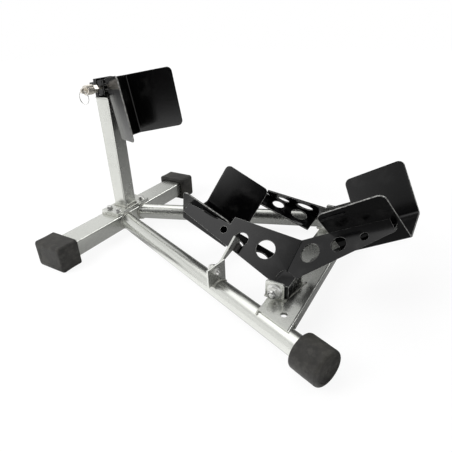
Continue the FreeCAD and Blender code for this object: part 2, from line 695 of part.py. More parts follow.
front_web = web("front_web", front_end, d.front_end_width, [
    (d.front_hole_one, d.front_rise_one, d.hole_large_r),
    (d.front_hole_two, d.front_rise_two, d.hole_mid_r),
    (d.front_hole_three, d.front_rise_three, d.hole_small_r)])
rear_web = web("rear_web", rear_end, d.rear_end_width, [
    (d.rear_hole_one, d.rear_rise_one, d.hole_large_r),
    (d.rear_hole_two, d.rear_rise_two, d.hole_mid_r),
    (d.rear_hole_three, d.rear_rise_three, d.hole_small_r)])


def arm_floor(name, end, start, holes):
    inner = FreeCAD.Vector(low.x, -d.floor_edge_y.value, low.z - d.floor_drop.value)
    turn = frame_from(low, end, inner)
    length = (end - low).Length
    along = (end - low).normalize()
    begin = low + along * start.value

    def edge_point(point):
        gap = (-d.floor_edge_y.value) - point.y
        across = (inner - low).normalize()
        return point + across * (gap / across.y)

    corners = []
    for point in (begin, end, edge_point(end), edge_point(begin)):
        corners.append(local(turn, low, point))
    downward = turn.multVec(FreeCAD.Vector(0, 0, 1)).z < 0
    return outline(name, corners, d.sheet, turn, (low.x, low.y, low.z), holes, back=downward)




def web_side(name, end):
    turn = frame_from(low, end, high)
    length = (end - low).Length
    margin = 4 * d.sheet
    corners = [(-margin, -margin), (length + margin, -margin),
               (length + margin, d.high_z), (-margin, d.high_z)]
    return outline(name, corners, 2 * d.sheet, turn, (low.x, low.y, low.z), middle=True)


def under_fold(name, end):
    """The space below a floor's underside, which trims the web's lower edge."""
    inner = FreeCAD.Vector(low.x, -d.floor_edge_y.value, low.z - d.floor_drop.value)
    turn = frame_from(low, end, inner)
    length = (end - low).Length
    margin = 4 * d.sheet
    corners = [(-margin, -margin), (length + margin, -margin),
               (length + margin, margin), (-margin, margin)]
    upward = turn.multVec(FreeCAD.Vector(0, 0, 1)).z > 0
    return outline(name, corners, 2 * d.sheet, turn, (low.x, low.y, low.z), back=upward)


front_side = web_side("front_side", front_end)
rear_side = web_side("rear_side", rear_end)
front_under = under_fold("front_under", front_end)
rear_under = under_fold("rear_under", rear_end)
front_floor = arm_floor("front_floor", front_end, d.front_floor_start, [
    (d.floor_hole_one, d.floor_rise_one, d.hole_large_r),
    (d.floor_hole_two, d.floor_rise_two, d.hole_mid_r)])
rear_floor = arm_floor("rear_floor", rear_end, d.rear_floor_start, [])

kept["front_web_near"] = cut("front_web_near", front_web,
                             fuse("front_web_tools", [boss_shape("boss_print"), front_trough,
                                                      front_under]))
rear_web_tools = fuse("rear_web_tools", [
    boss_shape("boss_print_two"), rear_trough, rear_under, front_web])
kept["rear_web_near"] = cut("rear_web_near", rear_web, rear_web_tools)
kept["front_floor_near"] = cut("front_floor_near", front_floor,
                               fuse("front_floor_tools", [front_side, front_trough]))
kept["rear_floor_near"] = cut("rear_floor_near", rear_floor,
                              fuse("rear_floor_tools", [rear_side, rear_trough]))
for part in ("front_web", "rear_web", "front_floor", "rear_floor"):
    kept[part + "_far"] = mirrored(part + "_far", kept[part + "_near"])

# Head frame on the post, with the block that guides the slide bar.
head_low = d.post_height
head_skin = block("head_skin", (d.bar_x - d.head_depth, -d.head_half, head_low),
                  (d.head_depth, 2 * d.head_half, d.head_height))
head_room = block(
    "head_room",
    (d.bar_x - d.head_depth, -d.head_half + d.head_wall, head_low + d.head_wall),
    (d.head_depth, 2 * d.head_half - 2 * d.head_wall, d.head_height - 2 * d.head_wall))
lock_at_x = d.bar_x - d.lock_x
slide_z = head_low + d.head_height / 2
lock_pass = rod("lock_pass", (lock_at_x, -d.head_half, slide_z),
                d.lock_r + d.lock_gap, d.head_wall, "y")
kept["head_frame"] = cut("head_frame", head_skin, fuse("head_tools", [head_room, lock_pass]))
guide_skin = block(
    "guide_skin", (d.bar_x - d.guide_front, -d.guide_near, head_low + d.head_wall),
    (d.guide_front + d.guide_rear, d.guide_near + d.head_half - d.head_wall,
     d.head_height - 2 * d.head_wall))
slide_room = d.slide_side / 2 + d.slide_gap
guide_room = block(
    "guide_room", (d.bar_x - d.guide_front, -slide_room, slide_z - slide_room),
    (d.guide_front + d.guide_rear, 2 * slide_room, 2 * slide_room))
guide_pass = rod("guide_pass", (lock_at_x, -d.guide_near, slide_z),
                 d.lock_r + d.lock_gap, d.guide_near - slide_room, "y")
kept["slide_guide"] = cut("slide_guide", guide_skin,
                          fuse("guide_tools", [guide_room, guide_pass]))

# Slide bar, slotted for the lock pin and cut to the wheel stop's lean.
slide_half = d.slide_side / 2
slide_skin = block("slide_skin",
                   (d.bar_x - d.slide_front, -slide_half, slide_z - slide_half),
                   (d.slide_front + d.stop_x, d.slide_side, d.slide_side))
slot_start = lock_at_x - d.slide_back - d.lock_r - d.slot_end_gap
slot_length = d.slide_back + d.slide_forward + 2 * d.lock_r + 2 * d.slot_end_gap
slot_half = d.lock_r + d.lock_gap
slide_slot = block("slide_slot", (slot_start, -slide_half, slide_z - slot_half),
                   (slot_length, d.slot_depth, 2 * slot_half))
stop_turn = FreeCAD.Rotation(stop_normal, FreeCAD.Vector(0, 1, 0),
                             stop_normal.cross(FreeCAD.Vector(0, 1, 0)), "ZXY")
stop_side = block(
    "stop_side",
    (d.bar_x + d.stop_x - d.saddle_sheet * cosine(d.stop_tilt)
     + d.stop_length * sine(d.stop_tilt),
     -d.head_half,
     stop_z - d.saddle_sheet * sine(d.stop_tilt) - d.stop_length * cosine(d.stop_tilt)),
    (d.stop_length, 2 * d.head_half, 2 * d.stop_length))
stop_side.Placement.Rotation = FreeCAD.Rotation(
    stop_normal, FreeCAD.Vector(0, 1, 0), stop_normal.cross(FreeCAD.Vector(0, 1, 0)), "ZXY")
kept["slide_bar"] = cut("slide_bar", slide_skin, fuse("slide_tools", [slide_slot, stop_side]))

# Lock pin with its barrel, knob, flattened neck and pull ring.
pin_tip = -slide_half + d.slot_depth - d.pin_end_gap
barrel_blank = hexagon("barrel_blank", (lock_at_x, -d.head_half - d.barrel_length, slide_z),
                       d.barrel_r, d.barrel_length, "y")
barrel_bore = rod("barrel_bore", (lock_at_x, -d.head_half - d.barrel_length, slide_z),
                  d.lock_r + d.lock_gap, d.barrel_length, "y")
kept["lock_barrel"] = cut("lock_barrel", barrel_blank, barrel_bore)
neck_blank = rod("neck_blank", (lock_at_x, -d.neck_end, slide_z), d.neck_r,
                 d.neck_end - d.knob_end, "y")
neck_flat = block("neck_flat", (lock_at_x - d.neck_width / 2, -d.neck_end, slide_z - d.neck_r),
                  (d.neck_width, d.neck_end - d.knob_end, 2 * d.neck_r))
neck = doc.addObject("Part::MultiCommon", "neck")
neck.Shapes = [neck_blank, neck_flat]
pin_blank = fuse("pin_blank", [
    rod("pin_shank", (lock_at_x, -d.knob_start, slide_z), d.lock_r,
        d.knob_start + pin_tip, "y"),
    rod("pin_knob", (lock_at_x, -d.knob_end, slide_z), d.knob_r,
        d.knob_end - d.knob_start, "y"),
    neck])
ring_hole = rod("ring_hole", (lock_at_x - d.neck_width, -d.ring_y, slide_z),
                d.ring_hole_r, 2 * d.neck_width, "x")
kept["lock_pin"] = cut("lock_pin", pin_blank, ring_hole)
pull_ring = doc.addObject("Part::Torus", "pull_ring")
tie(pull_ring, "Radius1", d.ring_r)
tie(pull_ring, "Radius2", d.ring_wire_r)
place(pull_ring, (lock_at_x, -d.ring_y, slide_z - d.ring_r), EACH_AXIS["y"])
kept["pull_ring"] = pull_ring

# Strap bracket square on the near leg, its bolt and nut, and the strap with its pad.
leg_way = vec(cosine(d.leg_angle), -sine(d.leg_angle), 0)
inward = vec(sine(d.leg_angle), cosine(d.leg_angle), 0)
upward = FreeCAD.Vector(0, 0, 1)


def beside_leg(distance, outward, height):
    x, y, z = along_leg(distance)
    return x - outward * sine(d.leg_angle), y - outward * cosine(d.leg_angle), height


bracket_blank = outline(
    "bracket_blank",
    [(-d.bracket_out, d.bracket_low), (d.bracket_in, d.bracket_low),
     (d.bracket_in, d.bracket_high), (-d.bracket_out, d.bracket_high - d.bracket_fall)],
    d.bracket_thick, FreeCAD.Rotation(inward, upward, leg_way, "ZXY"),
    beside_leg(d.bracket_along, 0, 0))
strap_at = beside_leg(d.bracket_along, d.strap_bolt_side, d.strap_pivot_z)
bracket_hole = rod("bracket_hole", strap_at, d.strap_pin_r, d.bracket_thick, turn=leg_turn)
bracket_print = rod("bracket_print", along_leg(-behind), d.leg_r,
                    leg_tube_length + behind, turn=leg_turn)
kept["strap_bracket"] = cut("strap_bracket", bracket_blank,
                            fuse("bracket_tools", [bracket_hole, bracket_print]))
strap_along = d.bracket_along - d.strap_gap - d.strap_thick
strap_grip = d.strap_head_gap + d.strap_thick + d.strap_gap + d.bracket_thick


def on_bolt(distance):
    return beside_leg(distance, d.strap_bolt_side, d.strap_pivot_z)


kept["strap_bolt"] = fuse("strap_bolt", [
    rod("strap_shank", on_bolt(strap_along - d.strap_head_gap), d.strap_pin_r,
        strap_grip + d.strap_nut_h + d.strap_bolt_out, turn=leg_turn),
    hexagon("strap_head", on_bolt(strap_along - d.strap_head_gap - d.strap_head_h),
            d.small_hex_r, d.strap_head_h, turn=leg_turn)])
strap_nut_blank = hexagon("strap_nut_blank", on_bolt(d.bracket_along + d.bracket_thick),
                          d.small_hex_r, d.strap_nut_h, turn=leg_turn)
strap_nut_bore = rod("strap_nut_bore", strap_at, d.strap_pin_r,
                     d.bracket_thick + d.strap_nut_h, turn=leg_turn)
kept["strap_nut"] = cut("strap_nut", strap_nut_blank, strap_nut_bore)
rise = math.radians(d.strap_rise.value)
strap_line = inward * math.cos(rise) + upward * math.sin(rise)
strap_up = upward * math.cos(rise) - inward * math.sin(rise)
strap_turn = FreeCAD.Rotation(strap_line, strap_up, leg_way, "ZXY")
strap_spot = on_bolt(strap_along)
strap_high = -d.strap_drop
strap_low = strap_high - d.strap_width
hook_start = d.strap_length - d.hook_length
strap_flat = outline(
    "strap_flat",
    [(0, strap_high - d.strap_neck), (d.neck_length, strap_high - d.strap_neck),
     (d.strap_full, strap_low), (hook_start, strap_low),
     (hook_start + d.hook_slant, strap_low - d.hook_drop),
     (d.strap_length, strap_low), (d.strap_length, strap_high), (0, strap_high)],
    d.strap_thick, strap_turn, strap_spot)
strap_eye = rod("strap_eye", strap_spot, d.strap_eye_r, d.strap_thick, turn=leg_turn)
web_turn = frame_from(low, front_end, high)
web_out = web_turn.multVec(FreeCAD.Vector(0, 0, 1))
if web_out.dot(inside) > 0:
    web_out = web_out * -1
strap_blank = fuse("strap_blank", [strap_flat, strap_eye])
strap_bore = rod("strap_bore", strap_spot, d.strap_pin_r + d.pivot_gap, d.strap_thick,
                 turn=leg_turn)
kept["strap"] = cut("strap", strap_blank, strap_bore)
strap_start = vec(*strap_spot) + leg_way * (d.strap_thick / 2).value
pad_centre = (strap_start + strap_line * (d.pad_from + d.pad_length / 2).value
              + strap_up * (strap_low - d.pad_drop).value)
pad_centre = pad_centre - web_out * (pad_centre - low).dot(web_out)
pad_x = (strap_line - web_out * strap_line.dot(web_out)).normalize()
pad_y = web_out.cross(pad_x)
pad_turn = FreeCAD.Rotation(pad_x, pad_y, web_out, "ZXY")
half_pad = [(-d.pad_length / 2, -d.pad_width / 2), (d.pad_length / 2, -d.pad_width / 2),
            (d.pad_length / 2, d.pad_width / 2), (-d.pad_length / 2, d.pad_width / 2)]
pad_blank = outline("pad_blank", half_pad, d.pad_height, pad_turn,
                    (pad_centre.x, pad_centre.y, pad_centre.z))
kept["strap_pad"] = cut("strap_pad", pad_blank, kept["strap"])

# Checks, then one STEP file for each piece.
doc.recompute()
for thing in doc.Objects:
    if "Invalid" in thing.State or "Error" in thing.State:
        raise ValueError("cannot build " + thing.Label)
for node, thing in kept.items():
    thing.Label = node
    shape = thing.Shape
    if shape.isNull() or not shape.isValid() or shape.Volume < 1:
        raise ValueError("bad shape " + node)
    shape.exportStep("parts/%s.step" % node)
whole = Part.makeCompound([thing.Shape for thing in kept.values()])
span = whole.BoundBox
print("nodes", len(kept), "x %.2f %.2f y %.2f %.2f z %.2f %.2f" % (
    span.XMin, span.XMax, span.YMin, span.YMax, span.ZMin, span.ZMax))
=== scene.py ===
import json
import math

import bmesh
import bpy
from bpy.props import FloatProperty, FloatVectorProperty, IntProperty, PointerProperty
from mathutils import Matrix, Vector, noise

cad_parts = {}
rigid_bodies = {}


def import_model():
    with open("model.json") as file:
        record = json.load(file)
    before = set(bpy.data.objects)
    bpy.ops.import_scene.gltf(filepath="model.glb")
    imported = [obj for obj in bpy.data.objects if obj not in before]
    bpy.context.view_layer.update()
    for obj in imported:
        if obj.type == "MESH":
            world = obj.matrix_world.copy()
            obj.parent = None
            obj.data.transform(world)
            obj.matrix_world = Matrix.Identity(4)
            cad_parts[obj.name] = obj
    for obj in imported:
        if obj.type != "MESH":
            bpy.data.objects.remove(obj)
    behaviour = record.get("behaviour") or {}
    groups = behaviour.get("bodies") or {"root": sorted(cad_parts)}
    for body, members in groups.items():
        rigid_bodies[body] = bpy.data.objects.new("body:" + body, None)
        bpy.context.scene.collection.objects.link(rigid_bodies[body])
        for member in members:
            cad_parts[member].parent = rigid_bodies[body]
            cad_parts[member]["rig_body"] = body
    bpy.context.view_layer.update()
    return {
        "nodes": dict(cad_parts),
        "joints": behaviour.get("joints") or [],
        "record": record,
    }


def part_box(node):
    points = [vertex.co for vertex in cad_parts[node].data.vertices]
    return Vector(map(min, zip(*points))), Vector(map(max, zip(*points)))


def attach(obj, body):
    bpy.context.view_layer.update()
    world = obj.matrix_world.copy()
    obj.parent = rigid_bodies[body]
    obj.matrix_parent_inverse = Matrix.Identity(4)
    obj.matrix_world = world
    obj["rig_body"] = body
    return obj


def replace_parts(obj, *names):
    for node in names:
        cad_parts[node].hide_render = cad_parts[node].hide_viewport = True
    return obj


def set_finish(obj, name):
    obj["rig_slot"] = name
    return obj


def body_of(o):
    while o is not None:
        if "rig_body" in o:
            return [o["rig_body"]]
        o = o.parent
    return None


bl_info = {
    "name": "Motorcycle wheel stand",
    "version": (1, 0, 0),
    "blender": (4, 5, 0),
    "location": "View3D > Sidebar > Wheel stand",
    "description": "Dresses the wheel stand's frame with its finishes and fine pieces",
    "category": "Object",
}

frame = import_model()
NODES = frame["nodes"]
JOINTS = {joint["name"]: joint for joint in frame["joints"]}
MM = 0.001
NARROW = 2.6 * MM  # faces narrower than this are sheet edges, which wear first and get a painted highlight
CORE = 0.1 * MM  # radius at which a turned profile closes on its axis
WALL = 2.5 * MM  # of the tubes
FOOT_WALL = 7 * MM  # rubber between a leg's end and its foot's end
SHEET = 3 * MM  # of the saddles and the wheel stop
PIVOT = Vector(JOINTS["cradle_tip"]["pos_m"])
STRAP_PIVOT = Vector(JOINTS["strap_swing"]["pos_m"])
STRAP_AXIS = Vector(JOINTS["strap_swing"]["axis"]).normalized()
RING_HINGE = Vector(JOINTS["ring_swing"]["pos_m"])
X, Y, Z = Vector((1, 0, 0)), Vector((0, 1, 0)), Vector((0, 0, 1))
finishes = {}


def low(node):
    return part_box(node)[0]


def high(node):
    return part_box(node)[1]


def corners(node):
    return [v.co for v in NODES[node].data.vertices]


def reach_along(node, way):
    """How far a node starts and ends along a direction."""
    spread = [p.dot(way) for p in corners(node)]
    return min(spread), max(spread)


def mm(*pairs):
    return [(a * MM, b * MM) for a, b in pairs]


# Sizes and colours that a user would change.

def colour_of(name, description, *value):
    return FloatVectorProperty(name=name, description="Colour of the " + description,
                               default=value, size=3, subtype="COLOR", min=0, max=1)


def length_of(name, description, value, least=MM):
    return FloatProperty(name=name, description=description, default=value, min=least,
                         unit="LENGTH")


class StandFinish(bpy.types.PropertyGroup):
    silver: colour_of("Silver paint", "tubes, plate and strap", 0.66, 0.67, 0.63)
    black: colour_of("Black paint", "cradle, saddles and wheel stop", 0.0014, 0.0014, 0.0016)
    rubber: colour_of("Rubber", "caps, feet and strap pad", 0.024, 0.023, 0.021)
    zinc: colour_of("Zinc", "bolts, nuts and pull ring", 0.80, 0.80, 0.78)
    yellow_zinc: colour_of("Yellow zinc", "lock pin and its barrel", 0.74, 0.70, 0.63)
    weld: colour_of("Weld", "weld beads under the paint", 0.46, 0.46, 0.42)


class StandDetail(bpy.types.PropertyGroup):
    edge: length_of("Sheet edge", "Rounding of cut sheet edges", 0.6 * MM, 0.1 * MM)
    fold: length_of("Fold", "Inner radius of the folds in sheet", 5 * MM)
    tube_corner: length_of("Tube corner", "Corner radius of the square tubes", 4 * MM)
    cap_edge: length_of("Cap edge", "Rounding of the rubber caps", 7 * MM)
    bead: length_of("Weld bead", "Radius of a weld bead", 2.6 * MM, 0.5 * MM)
    turn: IntProperty(name="Round steps", description="Steps round a turned piece",
                      default=64, min=24)


def finish():
    return bpy.context.scene.stand_finish


def detail():
    return bpy.context.scene.stand_detail


# Shader maths: a socket that takes part in Python expressions.

class Wire:
    """A socket of a node tree; arithmetic on it adds Math nodes."""

    def __init__(self, nodes, socket):
        self.nodes = nodes
        self.socket = socket

    def math(self, operation, *others):
        inputs = {"i%d" % i: value for i, value in enumerate((self,) + others)}
        node = self.nodes.add("ShaderNodeMath", {"operation": operation}, **inputs)
        return self.nodes.wire(node)

    def __add__(self, other):
        return self.math("ADD", other)

    def __mul__(self, other):
        return self.math("MULTIPLY", other)

    def top(self, other):
        return self.math("MAXIMUM", other)

    __radd__ = __add__
    __rmul__ = __mul__


class Nodes:
    """A node tree and the ways to add to it."""

    def __init__(self, tree):
        self.tree = tree

    def add(self, kind, settings=None, **inputs):
        """Adds a node, sets it and fills its sockets. i0, i1 name sockets by number."""
        node = self.tree.nodes.new(kind)
        for name, value in (settings or {}).items():
            setattr(node, name, value)
        for name, value in inputs.items():
            numbered = name[0] == "i" and name[1:].isdigit()
            key = int(name[1:]) if numbered else name.replace("_", " ")
            self.fill(node.inputs[key], value)
        return node

    def fill(self, socket, value):
        if isinstance(value, Wire):
            self.tree.links.new(value.socket, socket)
        else:
            socket.default_value = value

    def wire(self, node, output=0):
        return Wire(self, node.outputs[output])

    def ramp(self, value, start, end, level=1.0, shape="LINEAR"):
        """0 up to start, level from end on."""
        return self.wire(self.add("ShaderNodeMapRange", {"interpolation_type": shape},
                                  Value=value, From_Min=start, From_Max=end, To_Max=level))

    def surface(self, shader, output):
        self.fill(self.tree.nodes[output].inputs["Surface"], self.wire(shader))


class Paint(Nodes):
    """One material and the nodes that it is made of."""

    def __init__(self, name):
        self.material = bpy.data.materials.new(name)
        self.material.use_nodes = True
        super().__init__(self.material.node_tree)
        self.shader = self.tree.nodes["Principled BSDF"]
        self.place = self.wire(self.add("ShaderNodeTexCoord"), "Object")

    def speckle(self, scale, detail_level=4.0, roughness=0.5, stretch=None):
        """Noise between 0 and 1 in the piece's own space."""
        where = self.place
        if stretch:
            where = self.wire(self.add("ShaderNodeMapping", Vector=where, Scale=stretch))
        return self.wire(self.add("ShaderNodeTexNoise", Vector=where, Scale=scale,
                                  Detail=detail_level, Roughness=roughness))

    def mix(self, factor, one, two):
        return self.wire(self.add("ShaderNodeMix", {"data_type": "RGBA"},
                                  i0=factor, i6=one, i7=two), 2)

    def bump(self, height, strength, distance):
        return self.wire(self.add("ShaderNodeBump", Height=height, Strength=strength,
                                  Distance=distance))

    def set(self, **inputs):
        for name, value in inputs.items():
            self.fill(self.shader.inputs[name.replace("_", " ")], value)
        return self.material


def shade(colour, amount):
    return tuple(min(1.0, c * amount) for c in colour[:3]) + (1.0,)


def painted(name, colour, metallic, gloss, coat, grain, shine=0.5, bare_and_highlight=(0, 0, 0, 1),
            wear_and_highlight=0.0):
    """Sprayed paint: orange peel, flake, faint dirt, small scuffs and rubbed edges. On black paint
    the dirt is a lighter mottle, dust and a painted sheen; the rubbed edges are wear and a painted
    highlight.
    """
    paint = Paint(name)
    edge = paint.wire(paint.add("ShaderNodeAttribute", {"attribute_name": "worn"}), 2)
    rubbed_and_highlit = edge * (paint.ramp(paint.speckle(260.0, 4.0, 0.6), 0.40, 0.60) * 0.7 + 0.3) * wear_and_highlight
    cloud = paint.speckle(9.0, 5.0, 0.55)
    flake = paint.speckle(2600.0, 1.0)
    scuff = paint.ramp(paint.speckle(60.0, 8.0, 0.7, (1.0, 1.0, 0.35)), 0.66, 0.74)
    # Mottle mask: darker dirt on silver; on black paint lighter dust that is also a painted sheen.
    dirt_and_sheen = paint.ramp(paint.speckle(22.0, 7.0, 0.65), 0.52, 0.78)
    base = paint.mix(cloud, shade(colour, 0.95), shade(colour, 1.07))
    base = paint.mix(flake * grain, base, shade(colour, 1.7))
    if metallic > 0.5:
        dust_and_sheen_amount, dust, steel = 0.10, shade(colour, 0.6), 0.9
    else:
        # Black paint: the lighter grey mottle is dust and a painted sheen.
        dust_and_sheen_amount, dust, steel = 0.45, (0.035, 0.035, 0.034, 1), 0.2
    base = paint.mix(dirt_and_sheen * dust_and_sheen_amount, base, dust)
    # Edges take the bare colour: paint wear, and a painted highlight along sheet edges.
    base = paint.mix(rubbed_and_highlit, base, bare_and_highlight)
    metallic = rubbed_and_highlit * (steel - metallic) + metallic
    rough = gloss + cloud * 0.05 + scuff * 0.05 + dirt_and_sheen * 0.05
    peel = paint.speckle(420.0, 2.0, 0.5)
    normal = paint.bump(peel + flake * 0.10, 0.012, 0.0006)
    return paint.set(Base_Color=base, Roughness=rough, Metallic=metallic,
                     Specular_IOR_Level=shine, Coat_Weight=coat, Coat_Roughness=0.12,
                     Normal=normal)


def moulded(name, colour):
    """Moulded rubber: mottled bloom, fine grain and rubbed high spots."""
    paint = Paint(name)
    mottle = paint.speckle(30.0, 7.0, 0.70)
    bloom = paint.ramp(paint.speckle(85.0, 6.0, 0.7), 0.48, 0.70)
    dust = paint.ramp(paint.speckle(14.0, 4.0, 0.6), 0.45, 0.75)
    base = paint.mix(paint.ramp(mottle, 0.30, 0.70), shade(colour, 0.35), shade(colour, 1.8))
    base = paint.mix(bloom * 0.70, base, shade(colour, 3.4))
    base = paint.mix(dust * 0.30, base, (0.12, 0.115, 0.095, 1.0))
    rough = 0.50 + mottle * 0.18 + bloom * 0.12
    grain = paint.speckle(900.0, 3.0, 0.6)
    pits = paint.speckle(150.0, 5.0, 0.6)
    normal = paint.bump(grain * 0.5 + pits, 0.35, 0.0009)
    return paint.set(Base_Color=base, Roughness=rough, Specular_IOR_Level=0.45, Normal=normal)


def plated(name, colour, tint):
    """Zinc plate: bright metal with rub marks and a faint passivated tint."""
    paint = Paint(name)
    cloud = paint.speckle(90.0, 5.0, 0.6)
    rub = paint.speckle(520.0, 3.0, 0.6, (1.0, 1.0, 0.2))
    stain = paint.ramp(paint.speckle(150.0, 6.0, 0.7), 0.55, 0.80)
    base = paint.mix(cloud, shade(colour, 0.85), shade(colour, 1.12))
    base = paint.mix(stain * 0.5, base, tint)
    rough = 0.24 + cloud * 0.14 + rub * 0.10
    normal = paint.bump(rub, 0.10, 0.0004)
    return paint.set(Base_Color=base, Roughness=rough, Metallic=0.92, Normal=normal)


# Mesh helpers. Each makes one piece that rides on a body.

def piece(name, body, slot, points, faces, coat=None, worn=None):
    """A mesh of its own; the last argument says for each face whether its paint is rubbed at the
    edge and lightened as a painted highlight.
    """
    mesh = bpy.data.meshes.new(name)
    mesh.from_pydata([tuple(p) for p in points], [], faces)
    if worn:
        mesh.attributes.new("worn", "FLOAT", "FACE").data.foreach_set("value", worn)
    work = bmesh.new()
    work.from_mesh(mesh)
    bmesh.ops.remove_doubles(work, verts=work.verts, dist=0.005 * MM)
    bmesh.ops.recalc_face_normals(work, faces=work.faces)
    work.to_mesh(mesh)
    work.free()
    return dress(name, body, slot, mesh, coat)


def dress(name, body, slot, mesh, coat=None, smooth=True):
    """Puts a mesh on a body with its slot and its coat, or else the slot's own coat."""
    thing = bpy.data.objects.new(name, mesh)
    bpy.context.scene.collection.objects.link(thing)
    mesh.materials.clear()
    mesh.materials.append(finishes[coat or slot])
    if smooth:
        mesh.shade_smooth()
        mesh.set_sharp_from_angle(angle=math.radians(32))
    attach(thing, body)
    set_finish(thing, slot)
    return thing


def mirrored(thing, name):
    """The same piece on the far side."""
    mesh = thing.data.copy()
    mesh.name = name
    mesh.transform(Matrix.Scale(-1, 4, Y))
    mesh.flip_normals()
    return dress(name, body_of(thing)[0], thing["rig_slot"], mesh, thing["coat"], False)


def both_sides(thing, near_nodes=()):
    """Replaces the near nodes, and the far ones with a mirrored copy."""
    if near_nodes:
        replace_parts(thing, *near_nodes)
    thing["coat"] = thing.data.materials[0].name
    far = mirrored(thing, thing.name.replace("near", "far"))
    if near_nodes:
        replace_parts(far, *[n.replace("near", "far") for n in near_nodes])
    return far


def sides(direction):
    """Two directions square to this one."""
    direction = direction.normalized()
    start = Z if abs(direction.z) < 0.9 else X
    one = direction.cross(start).normalized()
    return one, direction.cross(one).normalized()


def about(origin, direction):
    """Gives a point by its distance along an axis, its angle round it and its radius."""
    direction = direction.normalized()
    one, two = sides(direction)

    def at(along, angle, radius):
        return (origin + direction * along
                + (one * math.cos(angle) + two * math.sin(angle)) * radius)

    return at


def turns(count):
    return [2 * math.pi * i / count for i in range(count)]


def lathe(name, body, slot, origin, direction, profile, closed=False):
    """Turns a profile of (radius, distance) round an axis."""
    at = about(origin, direction)
    rings = [[at(along, angle, radius) for angle in turns(detail().turn)]
             for radius, along in profile]
    return loft(name, body, slot, rings, closed)


def loft(name, body, slot, rings, closed=False, coat=None, edges=()):
    """Skins a row of rings that have the same number of points. edges numbers the
    strips that are a sheet's edge; the two end faces are then edges too."""
    count = len(rings[0])
    points = [p for ring in rings for p in ring]
    faces = []
    for j in range(len(rings) if closed else len(rings) - 1):
        for i in range(count):
            k, m = (i + 1) % count, (j + 1) % len(rings)
            faces.append((j * count + i, j * count + k, m * count + k, m * count + i))
    if not closed:
        faces.append(tuple(range(count)))
        faces.append(tuple((len(rings) - 1) * count + i for i in reversed(range(count))))
    # Edge strips and end faces are marked for rubbed paint and a painted highlight.
    worn = [float(f // count >= len(rings) - 1 or f % count in edges)
            for f in range(len(faces))] if edges else None
    return piece(name, body, slot, points, faces, coat, worn=worn)


def soft_rectangle(width, height, radius, steps=6):
    """Points round a rectangle with rounded corners, centred on zero."""
    radius = max(min(radius, width / 2, height / 2), 0.01 * MM)
    points = []
    for corner, (sx, sy) in enumerate(((1, 1), (-1, 1), (-1, -1), (1, -1))):
        for i in range(steps + 1):
            angle = math.pi / 2 * (corner + i / steps)
            points.append((sx * (width / 2 - radius) + radius * math.cos(angle),
                           sy * (height / 2 - radius) + radius * math.sin(angle)))
    return points


def softened(name, body, slot, nodes, edge, steps=2, whole=True):
    """CAD solids with their sharp edges rounded, as one piece."""
    mesh = bpy.data.meshes.new(name)
    both = bmesh.new()
    for node in nodes:
        both.from_mesh(eased(node, edge, steps, whole))
    both.to_mesh(mesh)
    both.free()
    return weigh(dress(name, body, slot, mesh))


def stand_in(name, body, slot, node, edge, steps=2):
    """One CAD solid with its sharp edges rounded, in place of its node."""
    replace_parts(softened(name, body, slot, [node], edge, steps), node)


def eased(node, edge, steps, whole):
    """A copy of a CAD node's mesh with flat faces made whole and edges rounded."""
    mesh = NODES[node].data.copy()
    work = bmesh.new()
    work.from_mesh(mesh)
    bmesh.ops.remove_doubles(work, verts=work.verts, dist=0.02 * MM)
    if whole:
        bmesh.ops.dissolve_limit(work, angle_limit=math.radians(0.6), verts=work.verts,
                                 edges=work.edges)
    # Narrow sheet edges and rounded faces are marked for rubbed paint and a painted highlight.
    worn = work.faces.layers.float.new("worn")
    for face in work.faces:
        width = 2 * face.calc_area() / sum(e.calc_length() for e in face.edges)
        face[worn] = float(whole and width < NARROW)
    chosen = [e for e in work.edges if sharp(e, 34)]
    rounded = bmesh.ops.bevel(work, geom=chosen, offset=edge, segments=steps, profile=0.5,
                              affect="EDGES", clamp_overlap=True)
    for face in rounded["faces"]:
        face[worn] = 1.0
    bmesh.ops.recalc_face_normals(work, faces=work.faces)
    work.to_mesh(mesh)
    work.free()
    return mesh


def sharp(edge, degrees):
    return len(edge.link_faces) == 2 and edge.calc_face_angle(0) > math.radians(degrees)


def weigh(thing):
    """Keeps flat faces flat in the shading beside their rounded edges."""
    change = thing.modifiers.new("weigh", "WEIGHTED_NORMAL")
    change.keep_sharp = True
    return thing


def sweep(name, body, slot, path, radius, closed=False, steps=10, coat=None, wobble=None):
    """A round bar along a path; wobble gives each station's radius."""
    count = len(path)
    rings = []
    across = None
    for i, point in enumerate(path):
        before = path[(i - 1) % count] if closed or i else path[i]
        after = path[(i + 1) % count] if closed or i < count - 1 else path[i]
        along = (after - before).normalized()
        if across is None:
            across = sides(along)[0]
        across = (across - along * across.dot(along)).normalized()
        up = along.cross(across)
        size = radius * (wobble(i) if wobble else 1.0)
        rings.append([point + (across * math.cos(a) + up * math.sin(a)) * size
                      for a in turns(steps)])
    return loft(name, body, slot, rings, closed, coat)


def resampled(path, step, closed=False):
    """Points at even steps along a path."""
    points = list(path) + ([path[0]] if closed else [])
    spread = [0.0]
    for a, b in zip(points, points[1:]):
        spread.append(spread[-1] + (b - a).length)
    count = max(int(spread[-1] / step), 2)
    result, k = [], 0
    for i in range(count if closed else count + 1):
        want = spread[-1] * i / count
        while k < len(spread) - 2 and spread[k + 1] < want:
            k += 1
        part = (want - spread[k]) / max(spread[k + 1] - spread[k], 1e-9)
        result.append(points[k].lerp(points[k + 1], part))
    return result


def bead(name, path, scale=1.0, closed=False, body="frame", slot="silver_paint"):
    """A weld bead: overlapping ripples with an uneven width."""
    radius = detail().bead * scale
    points = resampled(path, radius * 0.22, closed)
    ripple = 4

    def wobble(i):
        phase = (i % ripple) / ripple
        drift = noise.noise(points[i] * 160.0) * 0.22
        ends = 1.0 if closed else min(1.0, 0.45 + 0.2 * min(i, len(points) - 1 - i))
        return (0.86 + 0.20 * (1 - phase) + drift) * ends

    return sweep(name, body, slot, points, radius, closed, 10, "weld_" + slot, wobble)


